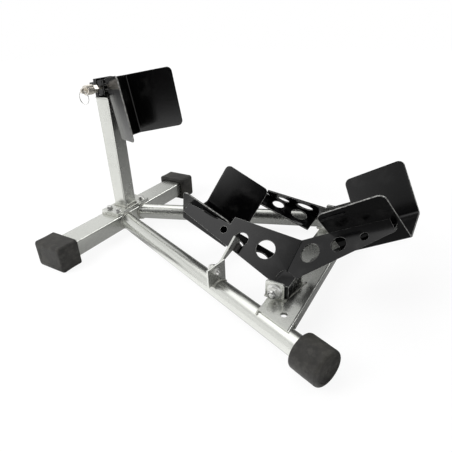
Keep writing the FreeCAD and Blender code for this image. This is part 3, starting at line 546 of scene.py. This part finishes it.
def hex_piece(name, origin, direction, corner, height, bore=0.0, slot="zinc"):
    """A hexagon nut or head with the turned chamfer of the real one, on the frame."""
    at = about(origin, direction)
    flat = corner * math.cos(math.pi / 6)
    inner = bore or flat * 0.35
    round_r = flat * 0.96
    rows = [[] for _ in range(6)]
    for angle in turns(48):
        reach = flat / math.cos(angle % (math.pi / 3) - math.pi / 6)
        drop = (reach - round_r) * 0.6
        profile = ((inner, 0), (round_r, 0), (reach, 0), (reach, height - drop),
                   (round_r, height), (inner, height))
        for row, (radius, along) in zip(rows, profile):
            row.append(at(along, angle, radius))
    return weigh(loft(name, "frame", slot, rows, bool(bore)))


def threaded(name, origin, direction, radius, length, pitch):
    """A screw thread with a pointed lead-in, on the frame."""
    at = about(origin, direction)
    round_steps = 28
    rows = max(int(length / pitch * 6), 12)
    depth = pitch * 0.55
    rings = []
    for j in range(rows + 1):
        along = length * j / rows
        lead = min(1.0, (length - along) / (1.3 * pitch) + 0.35)
        ring = []
        for i, angle in enumerate(turns(round_steps)):
            phase = (along / pitch - i / round_steps) % 1.0
            size = radius - depth * (1 - abs(2 * phase - 1)) - (1 - lead) * radius * 0.25
            ring.append(at(along, angle, size))
        rings.append(ring)
    return loft(name, "frame", "zinc", rings)


def rod(name, origin, direction, radius, length):
    """A bolt's plain shank, on the frame."""
    return lathe(name, "frame", "zinc", origin, direction,
                 [(CORE, 0), (radius, 0), (radius, length), (CORE, length)])


def pipe(name, body, slot, outer, inner):
    """A tube from its outer and inner end rings: (start, end) each."""
    return loft(name, body, slot, [inner[0], outer[0], outer[1], inner[1]], True)


# The frame: crossbar, post, legs, caps and feet.

def square_tube(name, node, along, up):
    """A square tube with rounded corners, in place of its sharp cornered solid."""
    lo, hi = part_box(node)
    middle = (lo + hi) / 2
    corner = detail().tube_corner
    width, height, length = (abs((hi - lo).dot(way)) for way in (X, up, along))

    def ends(inset):
        flat = soft_rectangle(width - 2 * inset, height - 2 * inset, corner - inset * 0.8)
        return [[middle + X * a + up * b + along * (side * length / 2) for a, b in flat]
                for side in (-1, 1)]

    tube = pipe(name, "frame", "silver_paint", ends(0), ends(WALL))
    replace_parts(weigh(tube), node)


def leg_line():
    """The middle of the near foot's end, the way that the leg runs and the leg's radius."""
    foot = corners("foot_near")
    far_end = max(foot, key=lambda p: p.x)
    near_end = min(foot, key=lambda p: p.y)
    face = near_end - far_end
    along = Vector((-face.y, face.x, 0)).normalized()
    if along.x < 0:
        along = -along
    lo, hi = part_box("leg_near")
    centre = (far_end + near_end) / 2
    centre.z = (lo.z + hi.z) / 2
    return centre, along, (hi.z - lo.z) / 2


def leg_ring(radius, angles, plane_x=None):
    """Points round the near leg, at its foot's end or on a plane square to X."""
    centre, along, _ = leg_line()
    across = along.cross(Z).normalized()
    spots = [centre + (across * math.cos(a) + Z * math.sin(a)) * radius for a in angles]
    if plane_x is None:
        return spots
    return [spot - along * ((spot.x - plane_x) / along.x) for spot in spots]


class STAND_OT_tubes(bpy.types.Operator):
    """Builds the crossbar, the post and the two round legs"""
    bl_idname = "stand.tubes"
    bl_label = "Tubes"

    def execute(self, context):
        square_tube("crossbar_tube", "crossbar", Y, Z)
        square_tube("post_tube", "post", Z, Y)
        stand_in("post_top", "frame", "silver_paint", "post_lid", MM)
        _, along, radius = leg_line()
        around = turns(detail().turn)

        def ends(size):
            foot_end = [spot - along * FOOT_WALL for spot in leg_ring(size, around)]
            return leg_ring(size, around, high("crossbar").x), foot_end

        leg = pipe("leg_tube_near", "frame", "silver_paint", ends(radius), ends(radius - WALL))
        both_sides(leg, ["leg_near"])
        return {"FINISHED"}


def cap_rings():
    """Rings of the near bar cap, from the bottom of its socket round to its end."""
    lo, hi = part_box("bar_cap_near")
    bar_lo, bar_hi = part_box("crossbar")
    edge = detail().cap_edge
    middle = (lo + hi) / 2
    mouth, end = hi.y, lo.y
    lip = 1.2 * MM
    shoulder = mouth - 1.6 * lip

    def ring(width, height, radius, y):
        return [Vector((middle.x + a, y, max(middle.z + b, lo.z)))
                for a, b in soft_rectangle(width, height, radius, 8)]

    def socket(gap, radius, y):
        return ring(bar_hi.x - bar_lo.x + gap, bar_hi.z - bar_lo.z + gap, radius, y)

    def outside(inset, radius, y, more=0.0):
        return ring(hi.x - lo.x - 2 * inset - more, hi.z - lo.z - 2 * inset, radius, y)

    rings = [socket(0, 3 * MM, bar_lo.y),
             socket(0, 3 * MM, mouth - 12 * MM),
             socket(2 * MM, 4 * MM, mouth - 11 * MM),
             socket(3 * MM, 5 * MM, mouth - 2 * MM),
             socket(5 * MM, 5 * MM, mouth),
             outside(lip, edge, mouth),
             outside(0.3 * lip, edge, mouth - 0.4 * lip),
             outside(0, edge, shoulder)]
    for i in range(1, 8):
        rings.append(outside(0.4 * MM * math.sin(math.pi * i / 8), edge,
                             shoulder + (end + edge - shoulder) * i / 8))
    for i in range(7):
        angle = math.pi / 2 * i / 6
        inset = edge * (1 - math.cos(angle))
        rings.append(outside(inset, max(edge - inset * 0.4, MM),
                             end + edge * (1 - math.sin(angle))))
    rings.append(outside(edge + 6 * MM, 6 * MM, end, 2 * MM))
    rings.append(outside(edge + 7 * MM, 6 * MM, end + 0.7 * MM, 2 * MM))
    return rings


class STAND_OT_rubbers(bpy.types.Operator):
    """Builds the square caps of the crossbar and the round feet of the legs"""
    bl_idname = "stand.rubbers"
    bl_label = "Caps and feet"

    def execute(self, context):
        cap = loft("bar_cap_rubber_near", "frame", "rubber", cap_rings())
        both_sides(weigh(cap), ["bar_cap_near"])
        centre, along, radius = leg_line()
        size = (high("foot_near").z - low("foot_near").z) / 2
        length, rounding = 54 * MM, 6 * MM
        grip = radius + 0.05 * MM
        profile = [(CORE, -FOOT_WALL), (grip, -FOOT_WALL), (grip, -length + 3 * MM),
                   (grip + 1.2 * MM, -length + 0.6 * MM), (grip + 2.2 * MM, -length),
                   (size - 2.4 * MM, -length), (size - 0.8 * MM, -length + 0.6 * MM),
                   (size - 0.1 * MM, -length + 2.2 * MM), (size, -length + 6 * MM),
                   (size, -length * 0.5), (size - 0.2 * MM, -16 * MM)]
        for i in range(9):
            angle = math.pi / 2 * i / 8
            profile.append((size - rounding * (1 - math.cos(angle)) - 0.2 * MM,
                            -rounding * (1 - math.sin(angle))))
        profile += [(size - 9 * MM, 0.0), (size - 10.2 * MM, -0.8 * MM)]
        profile += mm((11, -0.9), (9, -1.3), (5, -1.6), (3.4, -2.4), (0.1, -2.6))
        foot = lathe("foot_rubber_near", "frame", "rubber", centre, along, profile)
        both_sides(foot, ["foot_near"])
        return {"FINISHED"}


class STAND_OT_plates(bpy.types.Operator):
    """Rounds the flanges, the cross plate, the pivot ears and the strap with its bracket"""
    bl_idname = "stand.plates"
    bl_label = "Plates"

    def execute(self, context):
        edge = detail().edge
        for node, width in (("flange_lower", 1.2 * MM), ("flange_upper", 1.2 * MM),
                            ("cross_plate", edge)):
            stand_in(node + "_plate", "frame", "silver_paint", node, width)
        for node in ("ear_near_outer", "ear_near_inner"):
            ear = softened(node + "_sheet", "frame", "silver_paint", [node], edge)
            both_sides(ear, [node])
        stand_in("bracket_sheet", "frame", "silver_paint", "strap_bracket", edge)
        stand_in("strap_bar", "strap", "silver_paint", "strap", 0.9 * MM)
        # The strap's rubber pad: a black block under the strap's tip, which also serves as the
        # painted shadow there.
        stand_in("strap_pad_and_shade", "strap", "rubber", "strap_pad", 1.2 * MM, 3)
        return {"FINISHED"}


class STAND_OT_fasteners(bpy.types.Operator):
    """Builds the bolts, nuts and washers with their chamfers and threads"""
    bl_idname = "stand.fasteners"
    bl_label = "Bolts and nuts"

    def execute(self, context):
        self.flange_bolts()
        self.pivot_bolts()
        self.strap_bolt()
        return {"FINISHED"}

    def flange_bolts(self):
        lo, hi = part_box("flange_bolts")
        rim, thick, corner, height = 9 * MM, 1.6 * MM, 7.5 * MM, 5.3 * MM
        washer = [(CORE, 0), (rim, 0), (rim, 1.1 * MM), (rim - 0.5 * MM, thick), (CORE, thick)]
        spots = [(x, y) for x in (lo.x + rim, hi.x - rim) for y in (lo.y + rim, hi.y - rim)]
        for i, (x, y) in enumerate(spots):
            base = Vector((x, y, high("flange_upper").z))
            lathe("flange_washer_%d" % i, "frame", "zinc", base, Z, washer)
            head = hex_piece("flange_bolt_head_%d" % i, base + Z * thick, Z, corner, height)
            if i == 0:
                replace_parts(head, "flange_bolts")

    def pivot_bolts(self):
        """Each bolt with its flange nut, which ends in a collar round a plastic ring."""
        nut_lo, nut_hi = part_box("pivot_nut_near")
        bolt_lo, bolt_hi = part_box("pivot_bolt_near")
        axis = Vector((PIVOT.x, 0, PIVOT.z))
        corner, flange_height, hex_height, head_height = 10.4 * MM, 2.5 * MM, 8.5 * MM, 7.5 * MM
        face = axis + Y * nut_hi.y
        crown = face - Y * (flange_height + hex_height)

        def turned(part, slot, start, *profile):
            both_sides(lathe("pivot_nut_%s_near" % part, "frame", slot, start, -Y,
                             mm(*profile), True))

        turned("flange", "zinc", face, (6, 0), (14.8, 0), (14.8, 1.2), (13.6, 2.0),
               (10.5, 2.5), (6, 2.5))
        nut = hex_piece("pivot_nut_hex_near", face - Y * flange_height, -Y, corner, hex_height,
                        6 * MM)
        both_sides(nut, ["pivot_nut_near"])
        turned("collar", "zinc", crown, (6, 0), (8.6, 0), (8.4, 2.0), (7.4, 3.4), (7.0, 3.5),
               (6.9, 2.6), (6, 2.6))
        turned("seal", "rubber", crown - Y * 1.2 * MM, (5.2, 0), (6.9, 0), (6.9, 1.7),
               (6.4, 2.0), (5.2, 1.9))
        out = axis + Y * (nut_lo.y + 8 * MM)
        both_sides(threaded("pivot_thread_near", out, -Y, 5.6 * MM, out.y - bolt_lo.y, 1.5 * MM))
        under_head = axis + Y * (bolt_hi.y - head_height)
        shank = rod("pivot_shank_near", out, Y, 6 * MM, under_head.y - out.y)
        both_sides(shank, ["pivot_bolt_near"])
        both_sides(hex_piece("pivot_head_near", under_head, Y, corner, head_height))

    def strap_bolt(self):
        start, end = reach_along("strap_bolt", STRAP_AXIS)
        nut_start, nut_end = reach_along("strap_nut", STRAP_AXIS)
        corner, radius, lap = 7.5 * MM, 4 * MM, 0.5 * MM
        head_height, nut_height = 5.5 * MM, 6.5 * MM
        under_head = start + head_height

        def at(along):
            return STRAP_PIVOT + STRAP_AXIS * (along - STRAP_PIVOT.dot(STRAP_AXIS))

        hex_piece("strap_bolt_head", at(under_head), -STRAP_AXIS, corner, head_height)
        shank = rod("strap_bolt_shank", at(under_head), STRAP_AXIS, radius,
                    nut_end - under_head)
        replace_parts(shank, "strap_bolt")
        nut = hex_piece("strap_nut_hex", at(nut_start), STRAP_AXIS, corner, nut_height,
                        radius - 0.1 * MM)
        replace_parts(nut, "strap_nut")
        threaded("strap_thread", at(nut_end - lap), STRAP_AXIS, radius,
                 end - nut_end + lap, 1.25 * MM)


# The cradle: arms with drilled webs, pivot tubes and saddles.

class STAND_OT_arms(bpy.types.Operator):
    """Joins each side's webs and floors into one folded arm, and builds the pivot tubes"""
    bl_idname = "stand.arms"
    bl_label = "Cradle arms"

    def execute(self, context):
        nodes = ["front_web_near", "rear_web_near", "front_floor_near", "rear_floor_near"]
        arm = softened("cradle_arm_near", "cradle", "black_paint", nodes, detail().edge,
                       whole=False)
        both_sides(arm, nodes)
        block = softened("pivot_block_near", "cradle", "black_paint", ["pivot_tube_near"],
                         0.8 * MM, whole=False)
        both_sides(block, ["pivot_tube_near"])
        return {"FINISHED"}


def bent_sheet(name, body, node, normal, corner):
    """A saddle or stop with rolled folds and rounded corners, on its solid's own planes."""
    points = corners(node)
    normal = normal.normalized()
    along = Y.cross(normal).normalized()
    start, end = reach_along(node, along)
    base, tip = reach_along(node, normal)
    floor = base + SHEET

    def half_width(level):
        return max(abs(p.y) for p in points if abs(p.dot(normal) - level) < 0.02 * MM)

    half = half_width(floor)
    spread = half_width(tip) - half
    flare = math.atan2(spread, tip - floor)
    fold = detail().fold
    bend = math.pi / 2 - flare
    cut = fold * math.tan(bend / 2)
    flat = half - cut
    way = Vector((math.sin(flare), math.cos(flare)))
    out = Vector((math.cos(flare), -math.sin(flare)))
    straight = math.hypot(spread, tip - floor) - cut - corner
    # Across the sheet from its middle: a point, the way out of the sheet, the end's trim.
    stations = [(Vector((flat * i / 8, 0)), Vector((0, -1)), 0.0) for i in range(9)]
    for i in range(1, 9):
        angle = bend * i / 8
        spoke = Vector((math.sin(angle), -math.cos(angle)))
        stations.append((Vector((flat, fold)) + spoke * fold, spoke, 0.0))
    for i in range(1, 13):
        stations.append((Vector((half, 0)) + way * (cut + straight * i / 12), out, 0.0))
    for i in range(1, 11):
        angle = math.pi / 2 * i / 10
        reach = cut + straight + corner * math.sin(angle)
        stations.append((Vector((half, 0)) + way * reach, out, corner * (1 - math.cos(angle))))
    both = [(Vector((-p.x, p.y)), Vector((-n.x, n.y)), t) for p, n, t in reversed(stations[1:])]
    rings = []
    rows, edge = 24, 0.7 * MM
    for spot, face, trim in both + stations:
        reach = (end - start) / 2 - trim
        upper = [(0.0, (reach - edge) * (2 * j / rows - 1)) for j in range(rows + 1)]
        upper += [(edge * 0.3, reach - edge * 0.3), (edge, reach), (SHEET - edge, reach),
                  (SHEET - edge * 0.3, reach - edge * 0.3)]
        ring = []
        for deep, v in upper + [(SHEET - deep, -v) for deep, v in upper]:
            place = spot + face * deep
            ring.append(Y * place.x + normal * (floor + place.y)
                        + along * ((start + end) / 2 + v))
        rings.append(ring)
    edges = set(range(rows, rows + 5)) | set(range(2 * rows + 5, 2 * rows + 10))
    sheet = loft(name, body, "black_paint", rings, edges=edges)
    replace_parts(weigh(sheet), node)


def saddle_normal(node):
    """The way that a saddle's flat faces."""
    flats = [p for p in NODES[node].data.polygons if abs(p.normal.y) < 0.01]
    return max(flats, key=lambda p: p.area).normal.copy()


class STAND_OT_saddles(bpy.types.Operator):
    """Bends the two saddles and the wheel stop from sheet"""
    bl_idname = "stand.saddles"
    bl_label = "Saddles and wheel stop"

    def execute(self, context):
        for name, body, node in (("front_saddle_sheet", "cradle", "front_saddle"),
                                 ("rear_saddle_sheet", "cradle", "rear_saddle"),
                                 ("wheel_stop_sheet", "stop", "wheel_stop")):
            normal = saddle_normal(node)
            if (body == "cradle" and normal.z < 0) or (body == "stop" and normal.x < 0):
                normal = -normal
            bent_sheet(name, body, node, normal, 12 * MM)
        return {"FINISHED"}


# The head of the post: frame, guide, slide bar, lock pin and pull ring.

class STAND_OT_head(bpy.types.Operator):
    """Builds the head frame, the guide, the slide bar, the lock pin and its ring"""
    bl_idname = "stand.head"
    bl_label = "Post head"

    def execute(self, context):
        for node, body in (("head_frame", "frame"), ("slide_guide", "frame"),
                           ("slide_bar", "stop")):
            stand_in(node + "_block", body, "black_paint", node, 0.8 * MM)
        lo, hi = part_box("lock_barrel")
        axis = (lo + hi) / 2
        corner = 9.2 * MM
        barrel = hex_piece("lock_barrel_hex", Vector((axis.x, hi.y, axis.z)), -Y, corner,
                           hi.y - lo.y, bore=4.2 * MM, slot="yellow_zinc")
        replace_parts(barrel, "lock_barrel")
        self.pin(axis)
        self.ring()
        return {"FINISHED"}

    def pin(self, axis):
        """The turned pin with its grooved knob, and the eye that holds the ring."""
        lo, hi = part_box("lock_pin")
        radius = (hi.x - lo.x) / 2
        start, end = hi.y + 39 * MM, hi.y + 59 * MM
        profile = mm((0.1, 0), (3, 0), (4, 1))
        profile += [(4 * MM, start), (radius - MM, start), (radius, start + MM)]
        grooves, deep = 7, 0.5 * MM
        step = (end - start - 4 * MM) / grooves
        for i in range(grooves):
            a = start + 2 * MM + step * i
            profile += [(radius, a), (radius - deep, a + step * 0.35),
                        (radius - deep, a + step * 0.65), (radius, a + step)]
        profile += [(radius, end - 1.2 * MM), (radius - 1.2 * MM, end), (CORE, end)]
        knob = lathe("lock_pin_turned", "lock_pin", "yellow_zinc",
                     Vector((axis.x, hi.y, axis.z)), -Y, profile)
        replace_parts(knob, "lock_pin")
        hole = Vector((axis.x, RING_HINGE.y, RING_HINGE.z))
        half, outer, inner = 2.5 * MM, 5.5 * MM, 2.1 * MM

        def eye(size):
            ends = []
            for x in (-half, half):
                ends.append([])
                for angle in turns(32):
                    y, z = math.cos(angle) * size, math.sin(angle) * size
                    if size == outer and y > 0 and abs(z) < outer * 0.95:
                        y = hi.y - end - hole.y
                    ends[-1].append(hole + Vector((x, y, z)))
            return ends

        weigh(pipe("lock_pin_eye", "lock_pin", "yellow_zinc", eye(outer), eye(inner)))

    def ring(self):
        """A split ring of two coils that lie side by side."""
        lo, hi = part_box("pull_ring")
        wire = (hi.y - lo.y) / 2
        radius = (hi.x - lo.x) / 2 - wire
        strand = wire * 0.45
        coils, steps = 2, 72
        path = []
        for i in range(coils * steps + 1):
            angle = 2 * math.pi * i / steps
            shift = (wire - strand) * math.cos(math.pi * i / (coils * steps))
            path.append((lo + hi) / 2 + Vector((math.sin(angle) * radius, shift,
                                                math.cos(angle) * radius)))
        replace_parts(sweep("pull_ring_wire", "pull_ring", "zinc", path, strand), "pull_ring")


# Weld beads where the pieces are joined.

class STAND_OT_welds(bpy.types.Operator):
    """Lays the weld beads of the frame, the arms, the saddles and the head"""
    bl_idname = "stand.welds"
    bl_label = "Weld beads"

    def execute(self, context):
        for lay in (self.post, self.legs, self.ears, self.arms, self.plate, self.head):
            lay()
        return {"FINISHED"}

    def loop(self, name, lo, hi, z, scale):
        outline = ((lo.x, lo.y), (hi.x, lo.y), (hi.x, hi.y), (lo.x, hi.y))
        return bead(name, [Vector((x, y, z)) for x, y in outline], scale, True)

    def post(self):
        lo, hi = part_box("post")
        self.loop("weld_post_foot", lo, hi, lo.z + 0.5 * MM, 1.15)
        lo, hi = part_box("flange_lower")
        for side, y in (("near", lo.y), ("far", hi.y)):
            bead("weld_flange_" + side, [Vector((x, y, lo.z)) for x in (lo.x, hi.x)])

    def legs(self):
        _, along, radius = leg_line()
        over = radius + 0.3 * MM

        def arc(middle, spread):
            return [math.radians(middle + spread * (i / 6 - 1)) for i in range(13)]

        foot = leg_ring(radius, turns(48), high("crossbar").x)
        both_sides(bead("weld_leg_near", foot, 1.1, True))
        rim = leg_ring(over, arc(90, 34), low("cross_plate").x)
        both_sides(bead("weld_plate_front_near", rim, 0.9))
        for tag, stop in zip(("front", "rear"), reach_along("strap_bracket", STRAP_AXIS)):
            rim = [spot + along * (stop - spot.dot(along)) for spot in leg_ring(over, arc(93, 56))]
            bead("weld_bracket_" + tag, rim, 0.8)

    def ears(self):
        for node in ("ear_near_outer", "ear_near_inner"):
            lo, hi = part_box(node)
            both_sides(self.loop("weld_" + node, lo, hi, lo.z + 0.4 * MM, 0.8))

    def arms(self):
        """The seam between the webs, and a bead under each saddle's near fold."""
        rear = corners("rear_web_near")
        shared = [p for p in corners("front_web_near")
                  if min((p - q).length for q in rear) < 0.3 * MM]
        top = max(shared, key=lambda p: p.z)
        foot = min(shared, key=lambda p: (round(p.z, 3), p.y))
        both_sides(bead("weld_seam_near", [top, foot], 0.5, False, "cradle", "black_paint"))
        fold_y, shift = -85.6 * MM, Vector((0, -4 * MM, -2 * MM))
        for name, *parts in (("front", 0.42, 0.80), ("rear", 0.05, 0.42)):
            fold = sorted((p for p in corners(name + "_saddle")
                           if abs(p.y - fold_y) < 0.4 * MM), key=lambda p: p.x)
            path = [fold[0].lerp(fold[-1], part) + shift for part in parts]
            both_sides(bead("weld_saddle_%s_near" % name, path, 0.8, False, "cradle",
                            "black_paint"))

    def plate(self):
        """A bead across the plate with a blob at each end."""
        path = [Vector((PIVOT.x + x, y, high("cross_plate").z))
                for x, y in mm((19.4, -173.7), (33.5, -106.8))]
        both_sides(bead("weld_plate_line_near", path, 0.55))
        for i, spot in enumerate(path):
            ends = [spot - Y * 2.5 * MM, spot + Y * 2.5 * MM]
            both_sides(bead("weld_plate_end_%d_near" % i, ends, 1.3))

    def head(self):
        lo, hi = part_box("head_frame")
        for side, y in (("near", -18 * MM), ("far", 18 * MM)):
            path = [Vector((hi.x, y * part, lo.z + 0.3 * MM)) for part in (1, 0.2)]
            bead("weld_head_" + side, path, 0.8, slot="black_paint")


# Camera, light and floor.

class STAND_OT_stage(bpy.types.Operator):
    """Sets the camera, the soft studio light and the pale floor"""
    bl_idname = "stand.stage"
    bl_label = "Stage"

    def execute(self, context):
        scene = context.scene
        scene.view_settings.view_transform = "Standard"
        camera = bpy.data.objects.new("camera", bpy.data.cameras.new("camera"))
        scene.collection.objects.link(camera)
        camera.data.lens = 30.856
        camera.data.sensor_width = 36
        camera.data.clip_start = 0.05
        camera.location = (0.4019, -0.68364, 0.4959)
        camera.rotation_mode = "XYZ"
        camera.rotation_euler = [math.radians(a) for a in (61.898, 1.8884, 30.3938)]
        scene.camera = camera
        self.lamp("key", (-0.85, -1.15, 1.15), 0.9, 17)
        self.lamp("fill", (1.7, -0.9, 1.2), 1.0, 6)
        self.floor()
        self.world()
        return {"FINISHED"}

    def lamp(self, name, place, size, power):
        light = bpy.data.lights.new(name, "AREA")
        light.shape = "DISK"
        light.size = size
        light.energy = power
        lamp = bpy.data.objects.new(name, light)
        bpy.context.scene.collection.objects.link(lamp)
        lamp.location = place
        middle = Vector((0.0, 0.0, 0.12))
        aim = middle - Vector(place)
        lamp.rotation_mode = "QUATERNION"
        lamp.rotation_quaternion = aim.to_track_quat("-Z", "Y")
        lamp.visible_glossy = False

    def floor(self):
        mesh = bpy.data.meshes.new("floor")
        reach = 6.0
        mesh.from_pydata([(-reach, -reach, 0), (reach, -reach, 0), (reach, reach, 0),
                          (-reach, reach, 0)], [], [(0, 1, 2, 3)])
        floor = bpy.data.objects.new("floor", mesh)
        bpy.context.scene.collection.objects.link(floor)
        floor.location.z = low("bar_cap_near").z - 0.2 * MM
        paint = Paint("pale_floor")
        cloud = paint.speckle(1.5, 3.0)
        paint.set(Base_Color=paint.mix(cloud, (0.86, 0.86, 0.86, 1), (0.90, 0.90, 0.90, 1)),
                  Roughness=0.85)
        glow = paint.add("ShaderNodeEmission", Color=(1, 1, 1, 1), Strength=1.06)
        rays = paint.add("ShaderNodeLightPath")
        away = paint.wire(paint.add("ShaderNodeVectorMath", {"operation": "LENGTH"},
                                    i0=paint.place), "Value")
        fade = paint.ramp(away, 0.45, 1.1) * 0.16 + 0.84
        at = paint.add("ShaderNodeSeparateXYZ", Vector=paint.place)
        x, y = paint.wire(at), paint.wire(at, 1)
        # The glow in reflections: brighter in front of the stand, a painted shadow in a strip
        # beside the crossbar, a lighter patch by the post, a glow close to the stand that is
        # darker on the near side as painted shade, and a bright patch off to the right on the near
        # side.
        front = (paint.ramp(x * -0.352 + y * -0.936, 0.130, 0.165)
                 * paint.ramp(y, 0.5, 0.1))
        beside = paint.ramp((x + 0.26).math("ABSOLUTE"), 0.03, 0.10)
        between = paint.ramp(x, 0.12, -0.06) * paint.ramp(y, 0.24, 0.06)
        level = (front * beside * (paint.ramp(x, -0.2, 0.3) * 0.35 + 0.85) + between * 0.17
                 + paint.ramp(away, 1.0, 0.35) * (paint.ramp(y, -0.2, 0.0) * 0.09 + 0.09)
                 + paint.ramp(x, 0.75, 1.1) * paint.ramp(y, -0.35, -0.8) * 1.1 + 0.03)
        painted_reflection_glow = paint.add("ShaderNodeEmission", Color=level)
        # Seen by the camera it is a white floor; in reflections it is a dark floor that glows with
        # painted reflected light and painted shadow.
        blend = paint.add("ShaderNodeMixShader", Fac=paint.wire(rays, "Is Glossy Ray") * 0.95,
                          i1=paint.wire(paint.shader), i2=paint.wire(painted_reflection_glow))
        blend = paint.add("ShaderNodeMixShader", Fac=paint.wire(rays, "Is Camera Ray") * fade,
                          i1=paint.wire(blend), i2=paint.wire(glow))
        paint.surface(blend, "Material Output")
        mesh.materials.append(paint.material)

    def world(self):
        world = bpy.data.worlds.new("studio")
        bpy.context.scene.world = world
        world.use_nodes = True
        sky = Nodes(world.node_tree)
        place = sky.wire(sky.add("ShaderNodeTexCoord"), "Generated")
        parts = sky.add("ShaderNodeSeparateXYZ", Vector=place)
        x, y, z = (sky.wire(parts, axis) for axis in "XYZ")

        def soft(value, start, end, level=1.0):
            return sky.ramp(value, start, end, level, "SMOOTHSTEP")

        # A dark room with soft panels. In reflections the left one is the white backdrop.
        left = (soft(x, -0.38, -0.60) * soft(z, 0.72, 0.46) * soft(y, 0.90, 0.55)
                * soft(z, 0.05, 0.35).top(soft(y, 0.25, -0.05)))
        right = soft(x, 0.2, 0.7, 0.5) * soft(y, 0.2, 0.7) * soft(z, 0.10, 0.35)
        above = soft(z, 0.50, 0.86, 1.9) * soft(x, 0.0, -0.30)
        ahead = soft(x, -0.12, -0.20, 2.4) * soft(z, 0.24, 0.34) * soft(y, -0.82, -0.92)
        near = soft(x, 0.45, 0.62, 0.9) * soft(y, -0.20, -0.40) * soft(z, 0.50, 0.30)
        toward = sky.wire(sky.add("ShaderNodeVectorMath", {"operation": "DOT_PRODUCT"},
                                  i0=place, i1=(0.45, 0.64, 0.62)), "Value")
        rim = sky.ramp(toward, 0.955, 0.985, 3.8)
        back = sky.tree.nodes["Background"]
        sky.fill(back.inputs["Color"], above.top(right).top(near).top(ahead) + rim + 0.01)
        white = sky.add("ShaderNodeBackground", Color=(1, 1, 1, 1))
        rays = sky.add("ShaderNodeLightPath")
        seen = (sky.wire(rays, "Is Camera Ray").top(sky.wire(rays, "Is Transmission Ray"))
                .top(sky.wire(rays, "Is Glossy Ray") * left))
        mix = sky.add("ShaderNodeMixShader", Fac=seen, i1=sky.wire(back), i2=sky.wire(white))
        sky.surface(mix, "World Output")


class STAND_OT_finishes(bpy.types.Operator):
    """Makes the paints, rubber and plating, and puts them on the frame's own solids"""
    bl_idname = "stand.finishes"
    bl_label = "Finishes"

    def execute(self, context):
        look = finish()
        finishes["silver_paint"] = painted("silver_paint_coat", look.silver, 0.9, 0.23, 0.1,
                                           0.10, 0.5, (0.88, 0.88, 0.86, 1), 0.22)
        finishes["black_paint"] = painted("black_paint_coat", look.black, 0.0, 0.14, 0.0,
                                          0.02, 0.45, (0.50, 0.50, 0.48, 1), 0.85)
        finishes["rubber"] = moulded("moulded_rubber", look.rubber)
        finishes["zinc"] = plated("zinc_plate", look.zinc, (0.52, 0.50, 0.44, 1))
        finishes["yellow_zinc"] = plated("yellow_zinc_plate", look.yellow_zinc,
                                         (0.50, 0.42, 0.38, 1))
        finishes["weld_silver_paint"] = painted("silver_weld_coat", look.weld, 0.55, 0.40,
                                                0.2, 0.5)
        finishes["weld_black_paint"] = painted("black_weld_coat", look.black, 0.0, 0.30,
                                               0.0, 0.05, 0.35)
        for material in list(finishes.values()):
            finishes[material.name] = material
        slots = {s["node"]: s["material_slot"] for s in frame["record"]["subparts"]}
        for node, thing in NODES.items():
            thing.data.materials.clear()
            thing.data.materials.append(finishes[slots[node]])
        return {"FINISHED"}


class STAND_PT_panel(bpy.types.Panel):
    """Lists the wheel stand's sizes, colours and builders"""
    bl_label = "Wheel stand"
    bl_idname = "STAND_PT_panel"
    bl_space_type = "VIEW_3D"
    bl_region_type = "UI"
    bl_category = "Wheel stand"

    def draw(self, context):
        column = self.layout.column()
        for group in (context.scene.stand_finish, context.scene.stand_detail):
            for name in group.__annotations__:
                column.prop(group, name)
        for builder in BUILDERS:
            column.operator(builder.bl_idname)


BUILDERS = (STAND_OT_finishes, STAND_OT_tubes, STAND_OT_rubbers, STAND_OT_plates,
            STAND_OT_fasteners, STAND_OT_arms, STAND_OT_saddles, STAND_OT_head,
            STAND_OT_welds, STAND_OT_stage)
GROUPS = {"stand_finish": StandFinish, "stand_detail": StandDetail}


def register():
    for group_name, group in GROUPS.items():
        bpy.utils.register_class(group)
        setattr(bpy.types.Scene, group_name, PointerProperty(type=group))
    for builder in BUILDERS:
        bpy.utils.register_class(builder)
    bpy.utils.register_class(STAND_PT_panel)


def unregister():
    bpy.utils.unregister_class(STAND_PT_panel)
    for builder in reversed(BUILDERS):
        bpy.utils.unregister_class(builder)
    for group_name, group in GROUPS.items():
        delattr(bpy.types.Scene, group_name)
        bpy.utils.unregister_class(group)


def main():
    register()
    for builder in BUILDERS:
        area, action = builder.bl_idname.split(".")
        getattr(getattr(bpy.ops, area), action)()
    bpy.context.view_layer.update()


if __name__ == "__main__":
    main()
